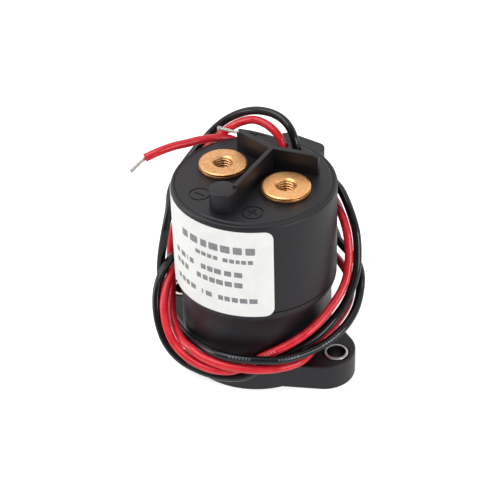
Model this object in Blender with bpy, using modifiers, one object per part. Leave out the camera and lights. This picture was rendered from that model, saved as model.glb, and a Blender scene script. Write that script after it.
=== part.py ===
"""Sealed high voltage DC contactor with two bolt terminals and two flying coil leads.

A round moulded case on a base with two mounting ears. The coil sits in a steel yoke in
the lower case, and a plunger lifts a copper bridge against two fixed contacts inside a
ceramic arc chamber in the upper housing. Metres, +Z up. The origin is the centre of the
flat mounting face, with +X along the ears and +Y towards the lead boss.
"""

import math

import bmesh
import bpy
from mathutils import Matrix, Vector

# Sizes.
HOUSING_R = 0.0230
HOUSING_WALL = 0.0018
PARTING_Z = 0.0285
FIT_GAP = 0.0003
CUT_PAST = 0.0010
RIM_Z = 0.0573
RIM_CHAMFER = 0.0008
DECK_R = HOUSING_R - 0.0017
DECK_Z = 0.0576
DECK_THICK = 0.0024

BASE_R = HOUSING_R - 0.0011
BASE_HIGH = 0.0082
WAIST_R = HOUSING_R - 0.0015
WAIST_TOP_Z = 0.0228
SHOULDER_Z = 0.0268
SPIGOT_R = HOUSING_R - HOUSING_WALL - FIT_GAP
CASE_BORE_R = SPIGOT_R - 0.0015
CASE_FLOOR_Z = 0.0022
SPIGOT_TOP_Z = 0.0315

EAR_TIP_X = BASE_R + 0.0011
EAR_TIP_R = 0.0091
EAR_FLANK_DEG = 27.5
BUSH_X = EAR_TIP_X + 0.0042
BUSH_R = 0.0035
BUSH_BORE_R = 0.0026
BUSH_PROUD = 0.0003

BOSS_FACE_Y = HOUSING_R + 0.0031
BOSS_HALF_WIDE = 0.0075
BOSS_CORNER_R = 0.0028
BOSS_FILLET_R = 0.0020
BOSS_TOP_Z = 0.0572
BOSS_LOW_Z = 0.02895

BARRIER_TOP_Z = 0.0640
BARRIER_STEM_THICK = 0.0013
BARRIER_ARM_THICK = 0.0016
BARRIER_FORK = (0.0007, 0.0080)
BARRIER_STEM_END = (0.0031, -0.0134)
BARRIER_ARM_ENDS = ((0.0137, 0.0116), (-0.0125, 0.0105))
BARRIER_CHAMFER = (0.0015, 0.0008)
POST_AT = (0.0007, -0.0154)
POST_R = 0.0037
POST_TOP_Z = 0.0635

TERMINAL_X = 0.0105
TERMINAL_Y = 0.0002
TERMINAL_R = 0.00683
TERMINAL_TOP_Z = 0.0595
TERMINAL_UNDER_Z = 0.0579
TERMINAL_NECK_R = 0.0040
TERMINAL_NECK_LOW_Z = 0.0484
TERMINAL_EDGE = 0.0002
THREAD_BORE_R = 0.0021
THREAD_DEEP = 0.0085
THREAD_LEAD_IN = 0.0006
TIP_R = 0.0032
TIP_HIGH = 0.0008
TIP_CHAMFER = 0.0003

LEAD_D = 0.0024
LEAD_HOLE_R = 0.0017
LEAD_SPACING = 0.0065
LEAD_BEND = math.radians(23)
STRAND_D = 0.0013

LABEL_Z = (0.0277, 0.0559)
LABEL_DEG = (-180, -42.5)
LABEL_THICK = 0.0002
LABEL_GAP = 0.0001

BAND_GAP = 0.00046
BAND_THICK = 0.0008
BAND_R = (HOUSING_R - HOUSING_WALL - BAND_GAP - BAND_THICK, HOUSING_R - HOUSING_WALL - BAND_GAP)
BAND_Z = (0.0380, 0.0520)
BAND_OPEN_DEG = 25
MAGNET_CORNER_ROOM = 0.00124
MAGNET_THICK = 0.0020
MAGNET_X = (BAND_R[0] - MAGNET_CORNER_ROOM - MAGNET_THICK, BAND_R[0] - MAGNET_CORNER_ROOM)
MAGNET_HALF_WIDE = 0.0060
MAGNET_Z = (0.0390, 0.0510)
CHAMBER_R = MAGNET_X[0] - FIT_GAP
CHAMBER_WALL = 0.0015
CHAMBER_TOP = 0.0020
CHAMBER_EDGE = 0.0005
CHAMBER_Z = (0.0315, 0.0535)
RING_R = (CHAMBER_R - CHAMBER_WALL, CHAMBER_R + 0.0006)
RING_Z = (0.0296, CHAMBER_Z[0] - FIT_GAP)
SHIELD_R = CHAMBER_R - CHAMBER_WALL - 0.0007
SHIELD_RIM_WALL = 0.0010
SHIELD_Z = (RING_Z[0], 0.0310, 0.0330, 0.0345)
COLLAR_R = 0.0034

YOKE_R = CASE_BORE_R - 0.0004
YOKE_WALL = 0.0012
YOKE_CORNER = 0.0008
YOKE_HOLE_R = 0.0042
YOKE_Z = (0.0025, 0.0270)
PLATE_Z = (YOKE_Z[1] + FIT_GAP, 0.0293)
PLATE_R = YOKE_R - 0.0001
PLUNGER_R = 0.0048
PLUNGER_Z = (0.0052, 0.0152)
PLUNGER_EDGE = 0.0003
SLEEVE_R = (PLUNGER_R + FIT_GAP, PLUNGER_R + 0.0008)
SLEEVE_Z = (0.0040, 0.0269)
SLEEVE_FLOOR = 0.0005
SLEEVE_EDGE = 0.0003
BOBBIN_R = YOKE_R - YOKE_WALL - 0.0006
BOBBIN_BORE_R = SLEEVE_R[1] + FIT_GAP
BOBBIN_WALL = 0.0010
BOBBIN_Z = (SLEEVE_Z[0], 0.0266)
WINDING_R = BOBBIN_R - 0.0014
WINDING_Z = (BOBBIN_Z[0] + BOBBIN_WALL + FIT_GAP, BOBBIN_Z[1] - BOBBIN_WALL - FIT_GAP)
WRAP_THICK = 0.0004
WRAP_INSET = 0.0001
CORE_Z = (0.0175, YOKE_Z[1])
RECESS_R = 0.0039
RECESS_TOP_Z = 0.0215

SHAFT_R = 0.0014
SHAFT_Z = (0.0083, 0.0475)
SHAFT_EDGE = 0.0003
SLIDE_R = SHAFT_R + FIT_GAP
CLIP_Z = (0.04565, 0.04625)
CLIP_R = 0.0026
CLIP_MOUTH = 0.0016
GROOVE_R = 0.00085
SEAT_R = 0.0042
SEAT_Z = (0.0352, 0.0361)
SPRING_R = 0.0032
SPRING_WIRE_D = 0.0005
SPRING_LOW_Z = SEAT_Z[1] + 0.0007
BRIDGE_END = 0.0031
BRIDGE_WIDE = 0.0072
BRIDGE_THICK = 0.0015
BRIDGE_LOW_Z = 0.0438
BRIDGE_EDGE = 0.0003
PAD_R = (0.0026, 0.0028)
PAD_HIGH = 0.0005

LARGE = 72
MEDIUM = 40
SMALL = 32
TINY = 24

# Lead routes: angle about the housing in degrees, radius and height in metres. Each lead
# leaves the deck at the boss, drops behind the left side and goes twice round the case.
BLACK_ROUTE = [
    (85.5, 0.0190, 0.0516), (85.6, 0.0190, 0.0562), (87.8, 0.0192, 0.0598), (94, 0.0202, 0.0627),
    (102.5, 0.0215, 0.0644), (112, 0.0229, 0.0650), (123, 0.0249, 0.0644), (132, 0.0272, 0.0625),
    (140, 0.0291, 0.0598), (146, 0.0300, 0.0572), (152, 0.0302, 0.0545), (160, 0.0296, 0.0520),
    (171, 0.0288, 0.0489), (183, 0.0282, 0.0446), (192.1, 0.0268, 0.0405), (198.3, 0.0268, 0.0365),
    (201.5, 0.0277, 0.0303), (203.5, 0.0282, 0.0256), (205, 0.0283, 0.0214), (206.6, 0.0281, 0.0180),
    (209, 0.0274, 0.0152), (214, 0.0264, 0.0129), (218.5, 0.0251, 0.0111), (225.5, 0.0239, 0.0103),
    (234.8, 0.0232, 0.0106), (246.5, 0.0231, 0.0117), (256.9, 0.0232, 0.0124), (268, 0.0242, 0.0135),
    (278, 0.0253, 0.0143), (290, 0.0259, 0.0147), (305, 0.0260, 0.0145), (320, 0.0262, 0.0139),
    (335, 0.0263, 0.0140), (349, 0.0275, 0.0151), (362, 0.0290, 0.0173), (374, 0.0297, 0.0194),
    (384.5, 0.0299, 0.0219), (390.8, 0.0299, 0.0251), (396.5, 0.0293, 0.0268), (402.3, 0.0281, 0.0279),
    (408.6, 0.0267, 0.0285), (417, 0.0258, 0.0294), (425, 0.0267, 0.0298), (434, 0.0281, 0.0302),
    (450, 0.0284, 0.0304), (466, 0.0281, 0.0302), (478, 0.0263, 0.0299), (494, 0.0252, 0.0294),
    (513, 0.0249, 0.0285), (530, 0.0246, 0.0274), (545, 0.0245, 0.0266), (555, 0.0247, 0.0268),
    (563, 0.0253, 0.0270), (570, 0.0260, 0.0267), (576, 0.0274, 0.0252), (582, 0.0288, 0.0220),
    (588, 0.0295, 0.0180), (594, 0.0296, 0.0143), (600, 0.0292, 0.0109), (606, 0.0282, 0.0083),
    (612, 0.0266, 0.0060), (620, 0.0254, 0.0052), (630, 0.0246, 0.0050), (642, 0.0238, 0.0050),
    (656, 0.0236, 0.0064), (667, 0.0232, 0.0092), (680, 0.0231, 0.0120), (695, 0.0232, 0.0137),
    (711, 0.0243, 0.0160), (724.1, 0.0255, 0.0187), (731.1, 0.0272, 0.0222), (736.6, 0.0285, 0.0268),
    (741.1, 0.0291, 0.0312), (746.4, 0.0289, 0.0356), (751.3, 0.0283, 0.0401), (757.7, 0.0272, 0.0435),
    (765.3, 0.0261, 0.0465), (773.3, 0.0255, 0.0482), (783, 0.0256, 0.0483), (792, 0.0273, 0.0486),
    (800, 0.0282, 0.0490), (810, 0.0281, 0.0497), (820, 0.0282, 0.0508), (829, 0.0278, 0.0522),
    (838, 0.0265, 0.0542), (847, 0.0252, 0.0562), (855, 0.0244, 0.0576),
]
RED_ROUTE = [
    (98.5, 0.0188, 0.0516), (98.6, 0.0188, 0.0558), (99.8, 0.0189, 0.0580), (103.3, 0.0192, 0.0600),
    (108.8, 0.0200, 0.0614), (116, 0.0213, 0.0623), (124, 0.0229, 0.0625), (132, 0.0249, 0.0610),
    (139, 0.0267, 0.0585), (145, 0.0274, 0.0562), (152, 0.0272, 0.0540), (161, 0.0268, 0.0502),
    (170, 0.0266, 0.0458), (178, 0.0266, 0.0404), (184, 0.0268, 0.0346), (188.5, 0.0274, 0.0295),
    (193.6, 0.0269, 0.0239), (199, 0.0259, 0.0206), (206, 0.0250, 0.0189), (213.5, 0.0247, 0.0175),
    (220.5, 0.0248, 0.0161), (227.5, 0.0250, 0.0146), (235, 0.0251, 0.0134), (243, 0.0254, 0.0128),
    (251.2, 0.0259, 0.0126), (259.4, 0.0261, 0.0128), (266, 0.0263, 0.0122), (278, 0.0264, 0.0119),
    (291, 0.0263, 0.0116), (305, 0.0262, 0.0112), (320, 0.0259, 0.0108), (333, 0.0255, 0.0108),
    (345, 0.0240, 0.0112), (356, 0.0235, 0.0122), (368, 0.0252, 0.0156), (380, 0.0269, 0.0192),
    (393, 0.0270, 0.0222), (406, 0.0256, 0.0234), (424, 0.0250, 0.0234), (444, 0.0250, 0.0232),
    (466, 0.0248, 0.0230), (488, 0.0246, 0.0228), (510, 0.0242, 0.0228), (528, 0.0238, 0.0231),
    (545, 0.0237, 0.0237), (555, 0.0238, 0.0242), (564, 0.0239, 0.0246), (571, 0.0245, 0.0246),
    (577, 0.0253, 0.0238), (583, 0.0263, 0.0223), (589, 0.0274, 0.0198), (595, 0.0280, 0.0170),
    (601, 0.0282, 0.0143), (608, 0.0280, 0.0118), (616.5, 0.0273, 0.0099), (625, 0.0265, 0.0088),
    (637, 0.0258, 0.0085), (649, 0.0244, 0.0088), (659, 0.0233, 0.0108), (671, 0.0232, 0.0138),
    (684, 0.0239, 0.0165), (698, 0.0243, 0.0188), (711, 0.0246, 0.0210), (722, 0.0255, 0.0243),
    (729.7, 0.0264, 0.0271), (735.5, 0.0268, 0.0296), (740.9, 0.0268, 0.0334), (745.7, 0.0264, 0.0373),
    (750.6, 0.0256, 0.0410), (757.6, 0.0247, 0.0430), (764.9, 0.0243, 0.0436), (773, 0.0247, 0.0432),
    (782, 0.0252, 0.0432), (791, 0.0270, 0.0435), (800, 0.0281, 0.0440), (810, 0.0280, 0.0450),
    (820, 0.0281, 0.0462), (829, 0.0275, 0.0476), (838, 0.0259, 0.0496), (846, 0.0248, 0.0518),
    (854, 0.0246, 0.0540), (863, 0.0246, 0.0562), (873, 0.0247, 0.0573), (883, 0.0250, 0.0581),
    (893, 0.0260, 0.0585), (900, 0.0274, 0.0588), (908, 0.0300, 0.0584), (913.5, 0.0330, 0.0573),
]
BLACK_STRANDS = [(858.5, 0.0243, 0.0583), (862, 0.0243, 0.0589), (866, 0.0244, 0.0597), (869.5, 0.0246, 0.0603)]
RED_STRANDS = [(916, 0.0334, 0.0571), (919, 0.0339, 0.0569), (924, 0.0350, 0.0565)]


for old in list(bpy.data.objects):
    bpy.data.objects.remove(old, do_unlink=True)

PARTS = bpy.data.collections.new("hv_dc_contactor")
CUTTERS = bpy.data.collections.new("cutters")
bpy.context.scene.collection.children.link(PARTS)
bpy.context.scene.collection.children.link(CUTTERS)


def material(name, colour, metallic, roughness):
    """A Principled surface of one colour, given in linear light."""
    mat = bpy.data.materials.new(name)
    mat.use_nodes = True
    shader = mat.node_tree.nodes["Principled BSDF"]
    shader.inputs["Base Color"].default_value = (*colour, 1.0)
    shader.inputs["Metallic"].default_value = metallic
    shader.inputs["Roughness"].default_value = roughness
    return mat


CASE_BLACK = material("case_black", (0.024, 0.024, 0.027), 0.0, 0.48)
STEEL = material("plated_steel", (0.56, 0.56, 0.57), 1.0, 0.32)
COPPER = material("brushed_copper", (0.77, 0.40, 0.17), 1.0, 0.30)
SILVER = material("silver_contact", (0.80, 0.79, 0.76), 1.0, 0.28)
CERAMIC = material("white_ceramic", (0.80, 0.78, 0.72), 0.0, 0.35)
FERRITE = material("magnet_grey", (0.10, 0.10, 0.11), 0.3, 0.50)
NYLON = material("bobbin_nylon", (0.62, 0.60, 0.54), 0.0, 0.50)
ENAMEL = material("winding_enamel", (0.42, 0.11, 0.03), 0.4, 0.35)
TAPE = material("winding_tape", (0.75, 0.60, 0.10), 0.0, 0.50)
RED_PVC = material("red_silicone", (0.55, 0.012, 0.020), 0.0, 0.42)
BLACK_PVC = material("black_silicone", (0.016, 0.016, 0.018), 0.0, 0.42)
TINNED = material("tinned_copper", (0.62, 0.60, 0.57), 1.0, 0.35)
PAPER = material("white_label", (0.86, 0.86, 0.84), 0.0, 0.55)


def shape(name, mesh, mat=None, cutter=False):
    """Link a mesh as a named piece, or as a hidden cutter."""
    obj = bpy.data.objects.new(name, mesh)
    if cutter:
        CUTTERS.objects.link(obj)
        obj.hide_render = True
        obj.display_type = "WIRE"
    else:
        PARTS.objects.link(obj)
        mesh.materials.append(mat)
    return obj


def lathe(name, profile, steps, mat=None, closed=False, cutter=False, at=(0.0, 0.0)):
    """Turn a profile of (radius, height) pairs about the upright axis through `at`."""
    mesh = bpy.data.meshes.new(name)
    edges = [(i, i + 1) for i in range(len(profile) - 1)]
    if closed:
        edges.append((len(profile) - 1, 0))
    mesh.from_pydata([(r, 0.0, z) for r, z in profile], edges, [])
    obj = shape(name, mesh, mat, cutter)
    obj.location = (at[0], at[1], 0.0)
    screw = obj.modifiers.new("Turn", "SCREW")
    screw.axis = "Z"
    screw.angle = math.tau
    screw.steps = steps
    screw.render_steps = steps
    screw.use_merge_vertices = True
    screw.merge_threshold = 0.00001
    return obj


def rod(name, radius, low, high, steps, at=(0.0, 0.0)):
    """A plain round cutter."""
    return lathe(name, [(0.0, high), (radius, high), (radius, low), (0.0, low)], steps,
                 cutter=True, at=at)


def block(name, low, high, mat=None, cutter=False):
    """A box between two corners."""
    mesh = bpy.data.meshes.new(name)
    bm = bmesh.new()
    bmesh.ops.create_cube(bm, size=1.0)
    size = Vector(high) - Vector(low)
    bmesh.ops.scale(bm, vec=size, verts=bm.verts)
    bm.to_mesh(mesh)
    bm.free()
    obj = shape(name, mesh, mat, cutter)
    obj.location = (Vector(low) + Vector(high)) / 2
    return obj


def flat_shape(name, outline, thick, place, mat=None, cutter=False):
    """A flat outline of the given thickness, centred on its own plane and put at `place`."""
    curve = bpy.data.curves.new(name, "CURVE")
    curve.dimensions = "2D"
    curve.fill_mode = "BOTH"
    curve.extrude = thick / 2
    spline = curve.splines.new("POLY")
    spline.points.add(len(outline) - 1)
    for point, (x, y) in zip(spline.points, outline):
        point.co = (x, y, 0.0, 1.0)
    spline.use_cyclic_u = True
    guide = bpy.data.objects.new(name + "_outline", curve)
    CUTTERS.objects.link(guide)
    guide.matrix_world = place
    bpy.context.view_layer.update()
    graph = bpy.context.evaluated_depsgraph_get()
    mesh = bpy.data.meshes.new_from_object(guide.evaluated_get(graph))
    bm = bmesh.new()
    bm.from_mesh(mesh)
    bmesh.ops.remove_doubles(bm, verts=bm.verts, dist=0.000001)
    bmesh.ops.recalc_face_normals(bm, faces=bm.faces)
    bm.to_mesh(mesh)
    bm.free()
    mesh.materials.clear()
    obj = shape(name, mesh, mat, cutter)
    obj.matrix_world = guide.matrix_world.copy()
    bpy.data.objects.remove(guide, do_unlink=True)
    return obj


def prism(name, outline, low, high, mat=None, cutter=False):
    """A flat outline seen from above, extruded between two heights."""
    place = Matrix.Translation((0.0, 0.0, (low + high) / 2))
    return flat_shape(name, outline, high - low, place, mat, cutter)


def bevel(obj, width, segments=2, angle=50):
    """Round the sharp edges of a piece."""
    mod = obj.modifiers.new("Edges", "BEVEL")
    mod.width = width
    mod.segments = segments
    mod.limit_method = "ANGLE"
    mod.angle_limit = math.radians(angle)
    mod.use_clamp_overlap = True


def combine(obj, other, operation):
    """Join another shape to a piece, or cut it away."""
    mod = obj.modifiers.new(operation.title(), "BOOLEAN")
    mod.operation = operation
    mod.object = other
    mod.solver = "EXACT"


def settle(obj, angle=35):
    """Keep the finished mesh of a piece and shade its round faces smooth."""
    graph = bpy.context.evaluated_depsgraph_get()
    mesh = bpy.data.meshes.new_from_object(obj.evaluated_get(graph))
    bm = bmesh.new()
    bm.from_mesh(mesh)
    bmesh.ops.remove_doubles(bm, verts=bm.verts, dist=0.000002)
    bm.to_mesh(mesh)
    bm.free()
    obj.modifiers.clear()
    obj.data = mesh
    mesh.shade_smooth()
    mesh.set_sharp_from_angle(angle=math.radians(angle))
    return obj


def arc(centre, radius, start, end, steps):
    """Points along an arc between two angles in degrees, both ends included."""
    points = []
    for i in range(steps + 1):
        turn = math.radians(start + (end - start) * i / steps)
        points.append((centre[0] + radius * math.cos(turn), centre[1] + radius * math.sin(turn)))
    return points


def mounting_outline():
    """The base seen from above: a disc with two ears whose flanks run tangent to the tips."""
    lean = math.radians(EAR_FLANK_DEG)
    normal = Vector((math.sin(lean), math.cos(lean)))
    touch = Vector((EAR_TIP_X, 0.0)) + EAR_TIP_R * normal
    reach = touch.dot(normal)
    along = math.sqrt(BASE_R ** 2 - reach ** 2)
    meet = normal * reach + along * Vector((math.cos(lean), -math.sin(lean)))
    edge = math.degrees(math.atan2(meet.y, meet.x))
    points = []
    for side in (0, 180):
        centre = (EAR_TIP_X * math.cos(math.radians(side)), 0.0)
        tip = 90 - EAR_FLANK_DEG
        points += arc(centre, EAR_TIP_R, side - tip, side + tip, 20)
        points += arc((0.0, 0.0), BASE_R, side + edge, side + 180 - edge, 22)
    return points


def boss_outline():
    """The lead boss seen from above, rounded outside and filleted into the housing."""
    centre_x = BOSS_HALF_WIDE + BOSS_FILLET_R
    touch_r = HOUSING_R - 0.0001
    centre_y = math.sqrt((touch_r + BOSS_FILLET_R) ** 2 - centre_x ** 2)
    lean = math.degrees(math.atan2(centre_y, centre_x))
    corner = (BOSS_HALF_WIDE - BOSS_CORNER_R, BOSS_FACE_Y - BOSS_CORNER_R)
    right = arc((centre_x, centre_y), BOSS_FILLET_R, lean + 180, 180, 4)
    right += arc(corner, BOSS_CORNER_R, 0, 90, 8)
    left = [(-x, y) for x, y in reversed(right)]
    inner = HOUSING_R - HOUSING_WALL / 2
    spread = math.degrees(math.atan2(right[0][0], right[0][1]))
    return right + left + arc((0.0, 0.0), inner, 90 + spread, 90 - spread, 8)


def upright_wall(name, start, end, thick, chamfer):
    """A barrier wall on the deck between two points, chamfered at its far top corner."""
    run = Vector(end) - Vector(start)
    foot = DECK_Z - 0.0008
    high = BARRIER_TOP_Z - foot
    outline = [(0.0, 0.0), (run.length, 0.0)]
    if chamfer:
        outline += [(run.length, high - chamfer[1]), (run.length - chamfer[0], high)]
    else:
        outline.append((run.length, high))
    outline.append((0.0, high))
    turn = Matrix.Rotation(math.atan2(run.y, run.x), 4, "Z") @ Matrix.Rotation(math.pi / 2, 4, "X")
    place = Matrix.Translation((start[0], start[1], foot)) @ turn
    return flat_shape(name, outline, thick, place, cutter=True)


def around(angle, radius, height):
    """A point given by its angle about the housing, radius and height."""
    turn = math.radians(angle)
    return Vector((radius * math.cos(turn), radius * math.sin(turn), height))


def smooth_route(route):
    """Points of a smooth curve through a route, closer together where it bends."""
    knots = [around(*stop) for stop in route]
    ends = [2 * knots[0] - knots[1]] + knots + [2 * knots[-1] - knots[-2]]
    fine = []
    for i in range(1, len(ends) - 2):
        a, b, c, d = ends[i - 1:i + 3]
        t1 = math.sqrt((b - a).length)
        t2 = t1 + math.sqrt((c - b).length)
        t3 = t2 + math.sqrt((d - c).length)
        for k in range(12):
            t = t1 + (t2 - t1) * k / 12
            ab = a.lerp(b, t / t1)
            bc = b.lerp(c, (t - t1) / (t2 - t1))
            cd = c.lerp(d, (t - t2) / (t3 - t2))
            abc = ab.lerp(bc, t / t2)
            bcd = bc.lerp(cd, (t - t1) / (t3 - t1))
            fine.append(abc.lerp(bcd, (t - t1) / (t2 - t1)))
    fine.append(knots[-1])
    travel = [0.0, (fine[1] - fine[0]).length / LEAD_SPACING]
    for p, q, r in zip(fine, fine[1:], fine[2:]):
        bend = (r - q).angle(q - p)
        travel.append(travel[-1] + max((r - q).length / LEAD_SPACING, bend / LEAD_BEND))
    count = round(travel[-1])
    points = []
    j = 0
    for i in range(count + 1):
        goal = travel[-1] * i / count
        while j < len(travel) - 2 and travel[j + 1] < goal:
            j += 1
        share = (goal - travel[j]) / (travel[j + 1] - travel[j])
        points.append(fine[j].lerp(fine[j + 1], share))
    return points


def wire(name, points, diameter, mat, sides=8):
    """A round wire along points, with filled ends."""
    curve = bpy.data.curves.new(name, "CURVE")
    curve.dimensions = "3D"
    curve.bevel_depth = diameter / 2
    curve.bevel_resolution = (sides - 4) // 2
    curve.use_fill_caps = True
    spline = curve.splines.new("POLY")
    spline.points.add(len(points) - 1)
    for point, co in zip(spline.points, points):
        point.co = (*co, 1.0)
    curve.materials.append(mat)
    obj = bpy.data.objects.new(name, curve)
    PARTS.objects.link(obj)
    return obj


def coil_spring(name, low, high, turns, mat):
    """A round wire compression spring about the axis, between two end heights."""
    low += SPRING_WIRE_D / 2
    high -= SPRING_WIRE_D / 2
    count = round(turns * 10)
    points = []
    for i in range(count + 1):
        turn = math.tau * turns * i / count
        rise = low + (high - low) * i / count
        points.append((SPRING_R * math.cos(turn), SPRING_R * math.sin(turn), rise))
    return wire(name, points, SPRING_WIRE_D, mat, sides=6)


# Lower case: base with ears, waist, shoulder and the spigot that the housing fits over.
lower_case = lathe("lower_case", [
    (0.0, SPIGOT_TOP_Z), (SPIGOT_R, SPIGOT_TOP_Z), (SPIGOT_R, PARTING_Z - FIT_GAP),
    (HOUSING_R, PARTING_Z - FIT_GAP), (HOUSING_R, SHOULDER_Z), (HOUSING_R - 0.0008, 0.0246),
    (WAIST_R, WAIST_TOP_Z), (WAIST_R, 0.0010), (0.0, 0.0010)], LARGE, CASE_BLACK)
base = prism("base_cutter", mounting_outline(), 0.0, BASE_HIGH, cutter=True)
bevel(base, 0.0004, segments=1)
combine(lower_case, base, "UNION")
combine(lower_case, rod("case_bore", CASE_BORE_R, CASE_FLOOR_Z, SPIGOT_TOP_Z + CUT_PAST, LARGE), "DIFFERENCE")
for side, label in ((-1, "left"), (1, "right")):
    hole = rod("ear_hole_" + label, BUSH_R + FIT_GAP, -CUT_PAST, BASE_HIGH + CUT_PAST, SMALL,
               (side * BUSH_X, 0.0))
    combine(lower_case, hole, "DIFFERENCE")
settle(lower_case)

for side, label in ((-1, "left"), (1, "right")):
    top = BASE_HIGH + BUSH_PROUD
    bush = lathe("mounting_bush_" + label, [
        (BUSH_BORE_R, top - 0.0002), (BUSH_BORE_R + 0.0002, top), (BUSH_R - 0.0002, top),
        (BUSH_R, top - 0.0002), (BUSH_R, 0.0), (BUSH_BORE_R, 0.0)], SMALL, STEEL, closed=True,
        at=(side * BUSH_X, 0.0))
    settle(bush)

# Upper housing: an open cup with the deck on top, the lead boss and the barrier.
upper_housing = lathe("upper_housing", [
    (0.0, DECK_Z), (DECK_R - 0.0002, DECK_Z), (DECK_R, RIM_Z), (HOUSING_R - RIM_CHAMFER, RIM_Z),
    (HOUSING_R - 0.0002, RIM_Z - 0.0005), (HOUSING_R, RIM_Z - 0.0011), (HOUSING_R, PARTING_Z),
    (0.0, PARTING_Z)], LARGE, CASE_BLACK)
boss = prism("boss_solid", boss_outline(), BOSS_LOW_Z, BOSS_TOP_Z, cutter=True)
combine(upper_housing, boss, "UNION")
inner_r = HOUSING_R - HOUSING_WALL
combine(upper_housing, rod("housing_bore", inner_r, WAIST_TOP_Z, DECK_Z - DECK_THICK, LARGE), "DIFFERENCE")
pocket_x, pocket_y = BOSS_HALF_WIDE - HOUSING_WALL, BOSS_FACE_Y - HOUSING_WALL
pocket = block("boss_pocket", (-pocket_x, HOUSING_R - 0.0050, BOSS_LOW_Z + 0.00205),
               (pocket_x, pocket_y, DECK_Z - DECK_THICK - 0.0001), cutter=True)
combine(upper_housing, pocket, "DIFFERENCE")
post = lathe("post_solid", [
    (0.0, POST_TOP_Z), (POST_R - 0.0004, POST_TOP_Z), (POST_R, POST_TOP_Z - 0.0004),
    (POST_R, DECK_Z - 0.0008), (0.0, DECK_Z - 0.0008)], SMALL, cutter=True, at=POST_AT)
combine(upper_housing, post, "UNION")
combine(upper_housing, upright_wall("barrier_stem", BARRIER_FORK, BARRIER_STEM_END,
                                    BARRIER_STEM_THICK, None), "UNION")
for number, tip in enumerate(BARRIER_ARM_ENDS, 1):
    arm = upright_wall("barrier_arm_%d" % number, BARRIER_FORK, tip, BARRIER_ARM_THICK, BARRIER_CHAMFER)
    combine(upper_housing, arm, "UNION")
for side, label in ((-1, "left"), (1, "right")):
    hole = rod("terminal_hole_" + label, TERMINAL_NECK_R + FIT_GAP, DECK_Z - DECK_THICK - CUT_PAST,
               DECK_Z + CUT_PAST, SMALL,
               (side * TERMINAL_X, TERMINAL_Y))
    combine(upper_housing, hole, "DIFFERENCE")
for label, route in (("black", BLACK_ROUTE), ("red", RED_ROUTE)):
    spot = around(*route[0])
    hole = rod("lead_hole_" + label, LEAD_HOLE_R, DECK_Z - DECK_THICK - CUT_PAST, DECK_Z + CUT_PAST, TINY,
               (spot.x, spot.y))
    combine(upper_housing, hole, "DIFFERENCE")
settle(upper_housing)

# Bolt terminals with a threaded blind bore, and the silver tips brazed under them.
for side, label in ((-1, "left"), (1, "right")):
    spot = (side * TERMINAL_X, TERMINAL_Y)
    bore_low = TERMINAL_TOP_Z - THREAD_DEEP
    terminal = lathe("terminal_" + label, [
        (0.0, bore_low), (THREAD_BORE_R, bore_low), (THREAD_BORE_R, TERMINAL_TOP_Z - THREAD_LEAD_IN),
        (THREAD_BORE_R + THREAD_LEAD_IN, TERMINAL_TOP_Z),
        (TERMINAL_R - TERMINAL_EDGE, TERMINAL_TOP_Z), (TERMINAL_R, TERMINAL_TOP_Z - TERMINAL_EDGE),
        (TERMINAL_R, TERMINAL_UNDER_Z + TERMINAL_EDGE), (TERMINAL_R - TERMINAL_EDGE, TERMINAL_UNDER_Z),
        (TERMINAL_NECK_R, TERMINAL_UNDER_Z),
        (TERMINAL_NECK_R, TERMINAL_NECK_LOW_Z), (0.0, TERMINAL_NECK_LOW_Z)], SMALL, COPPER, at=spot)
    settle(terminal)
    tip_top = TERMINAL_NECK_LOW_Z - FIT_GAP
    tip = lathe("fixed_contact_" + label, [
        (0.0, tip_top), (TIP_R, tip_top), (TIP_R, tip_top - TIP_HIGH + TIP_CHAMFER),
        (TIP_R - TIP_CHAMFER, tip_top - TIP_HIGH), (0.0, tip_top - TIP_HIGH)], TINY, SILVER, at=spot)
    settle(tip)

# Label wrapped round the front and left of the housing, on its flats.
label_mesh = bpy.data.meshes.new("label")
bm = bmesh.new()
step = 360 / LARGE
stations = [(LABEL_DEG[0], 0.0020, 0), (LABEL_DEG[0] + step / 2, 0.0004, 1), (LABEL_DEG[0] + step, 0.0, 0)]
turn = LABEL_DEG[0] + 2 * step
while turn < LABEL_DEG[1] - step - 0.5:
    stations.append((turn, 0.0, 0))
    turn += step
stations += [(LABEL_DEG[1] - step, 0.0, 0), (LABEL_DEG[1] - step / 2, 0.0004, 1), (LABEL_DEG[1], 0.0020, 0)]
columns = []
for angle, inset, on_flat in stations:
    radius = HOUSING_R + LABEL_GAP
    if on_flat:
        radius *= math.cos(math.radians(step / 2))
    columns.append((bm.verts.new(around(angle, radius, LABEL_Z[0] + inset)),
                    bm.verts.new(around(angle, radius, LABEL_Z[1] - inset))))
for (a, b), (c, d) in zip(columns, columns[1:]):
    bm.faces.new((a, c, d, b))
bm.to_mesh(label_mesh)
bm.free()
label_sheet = shape("label", label_mesh, PAPER)
paper = label_sheet.modifiers.new("Thickness", "SOLIDIFY")
paper.thickness = LABEL_THICK
paper.offset = 1.0
settle(label_sheet)

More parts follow.
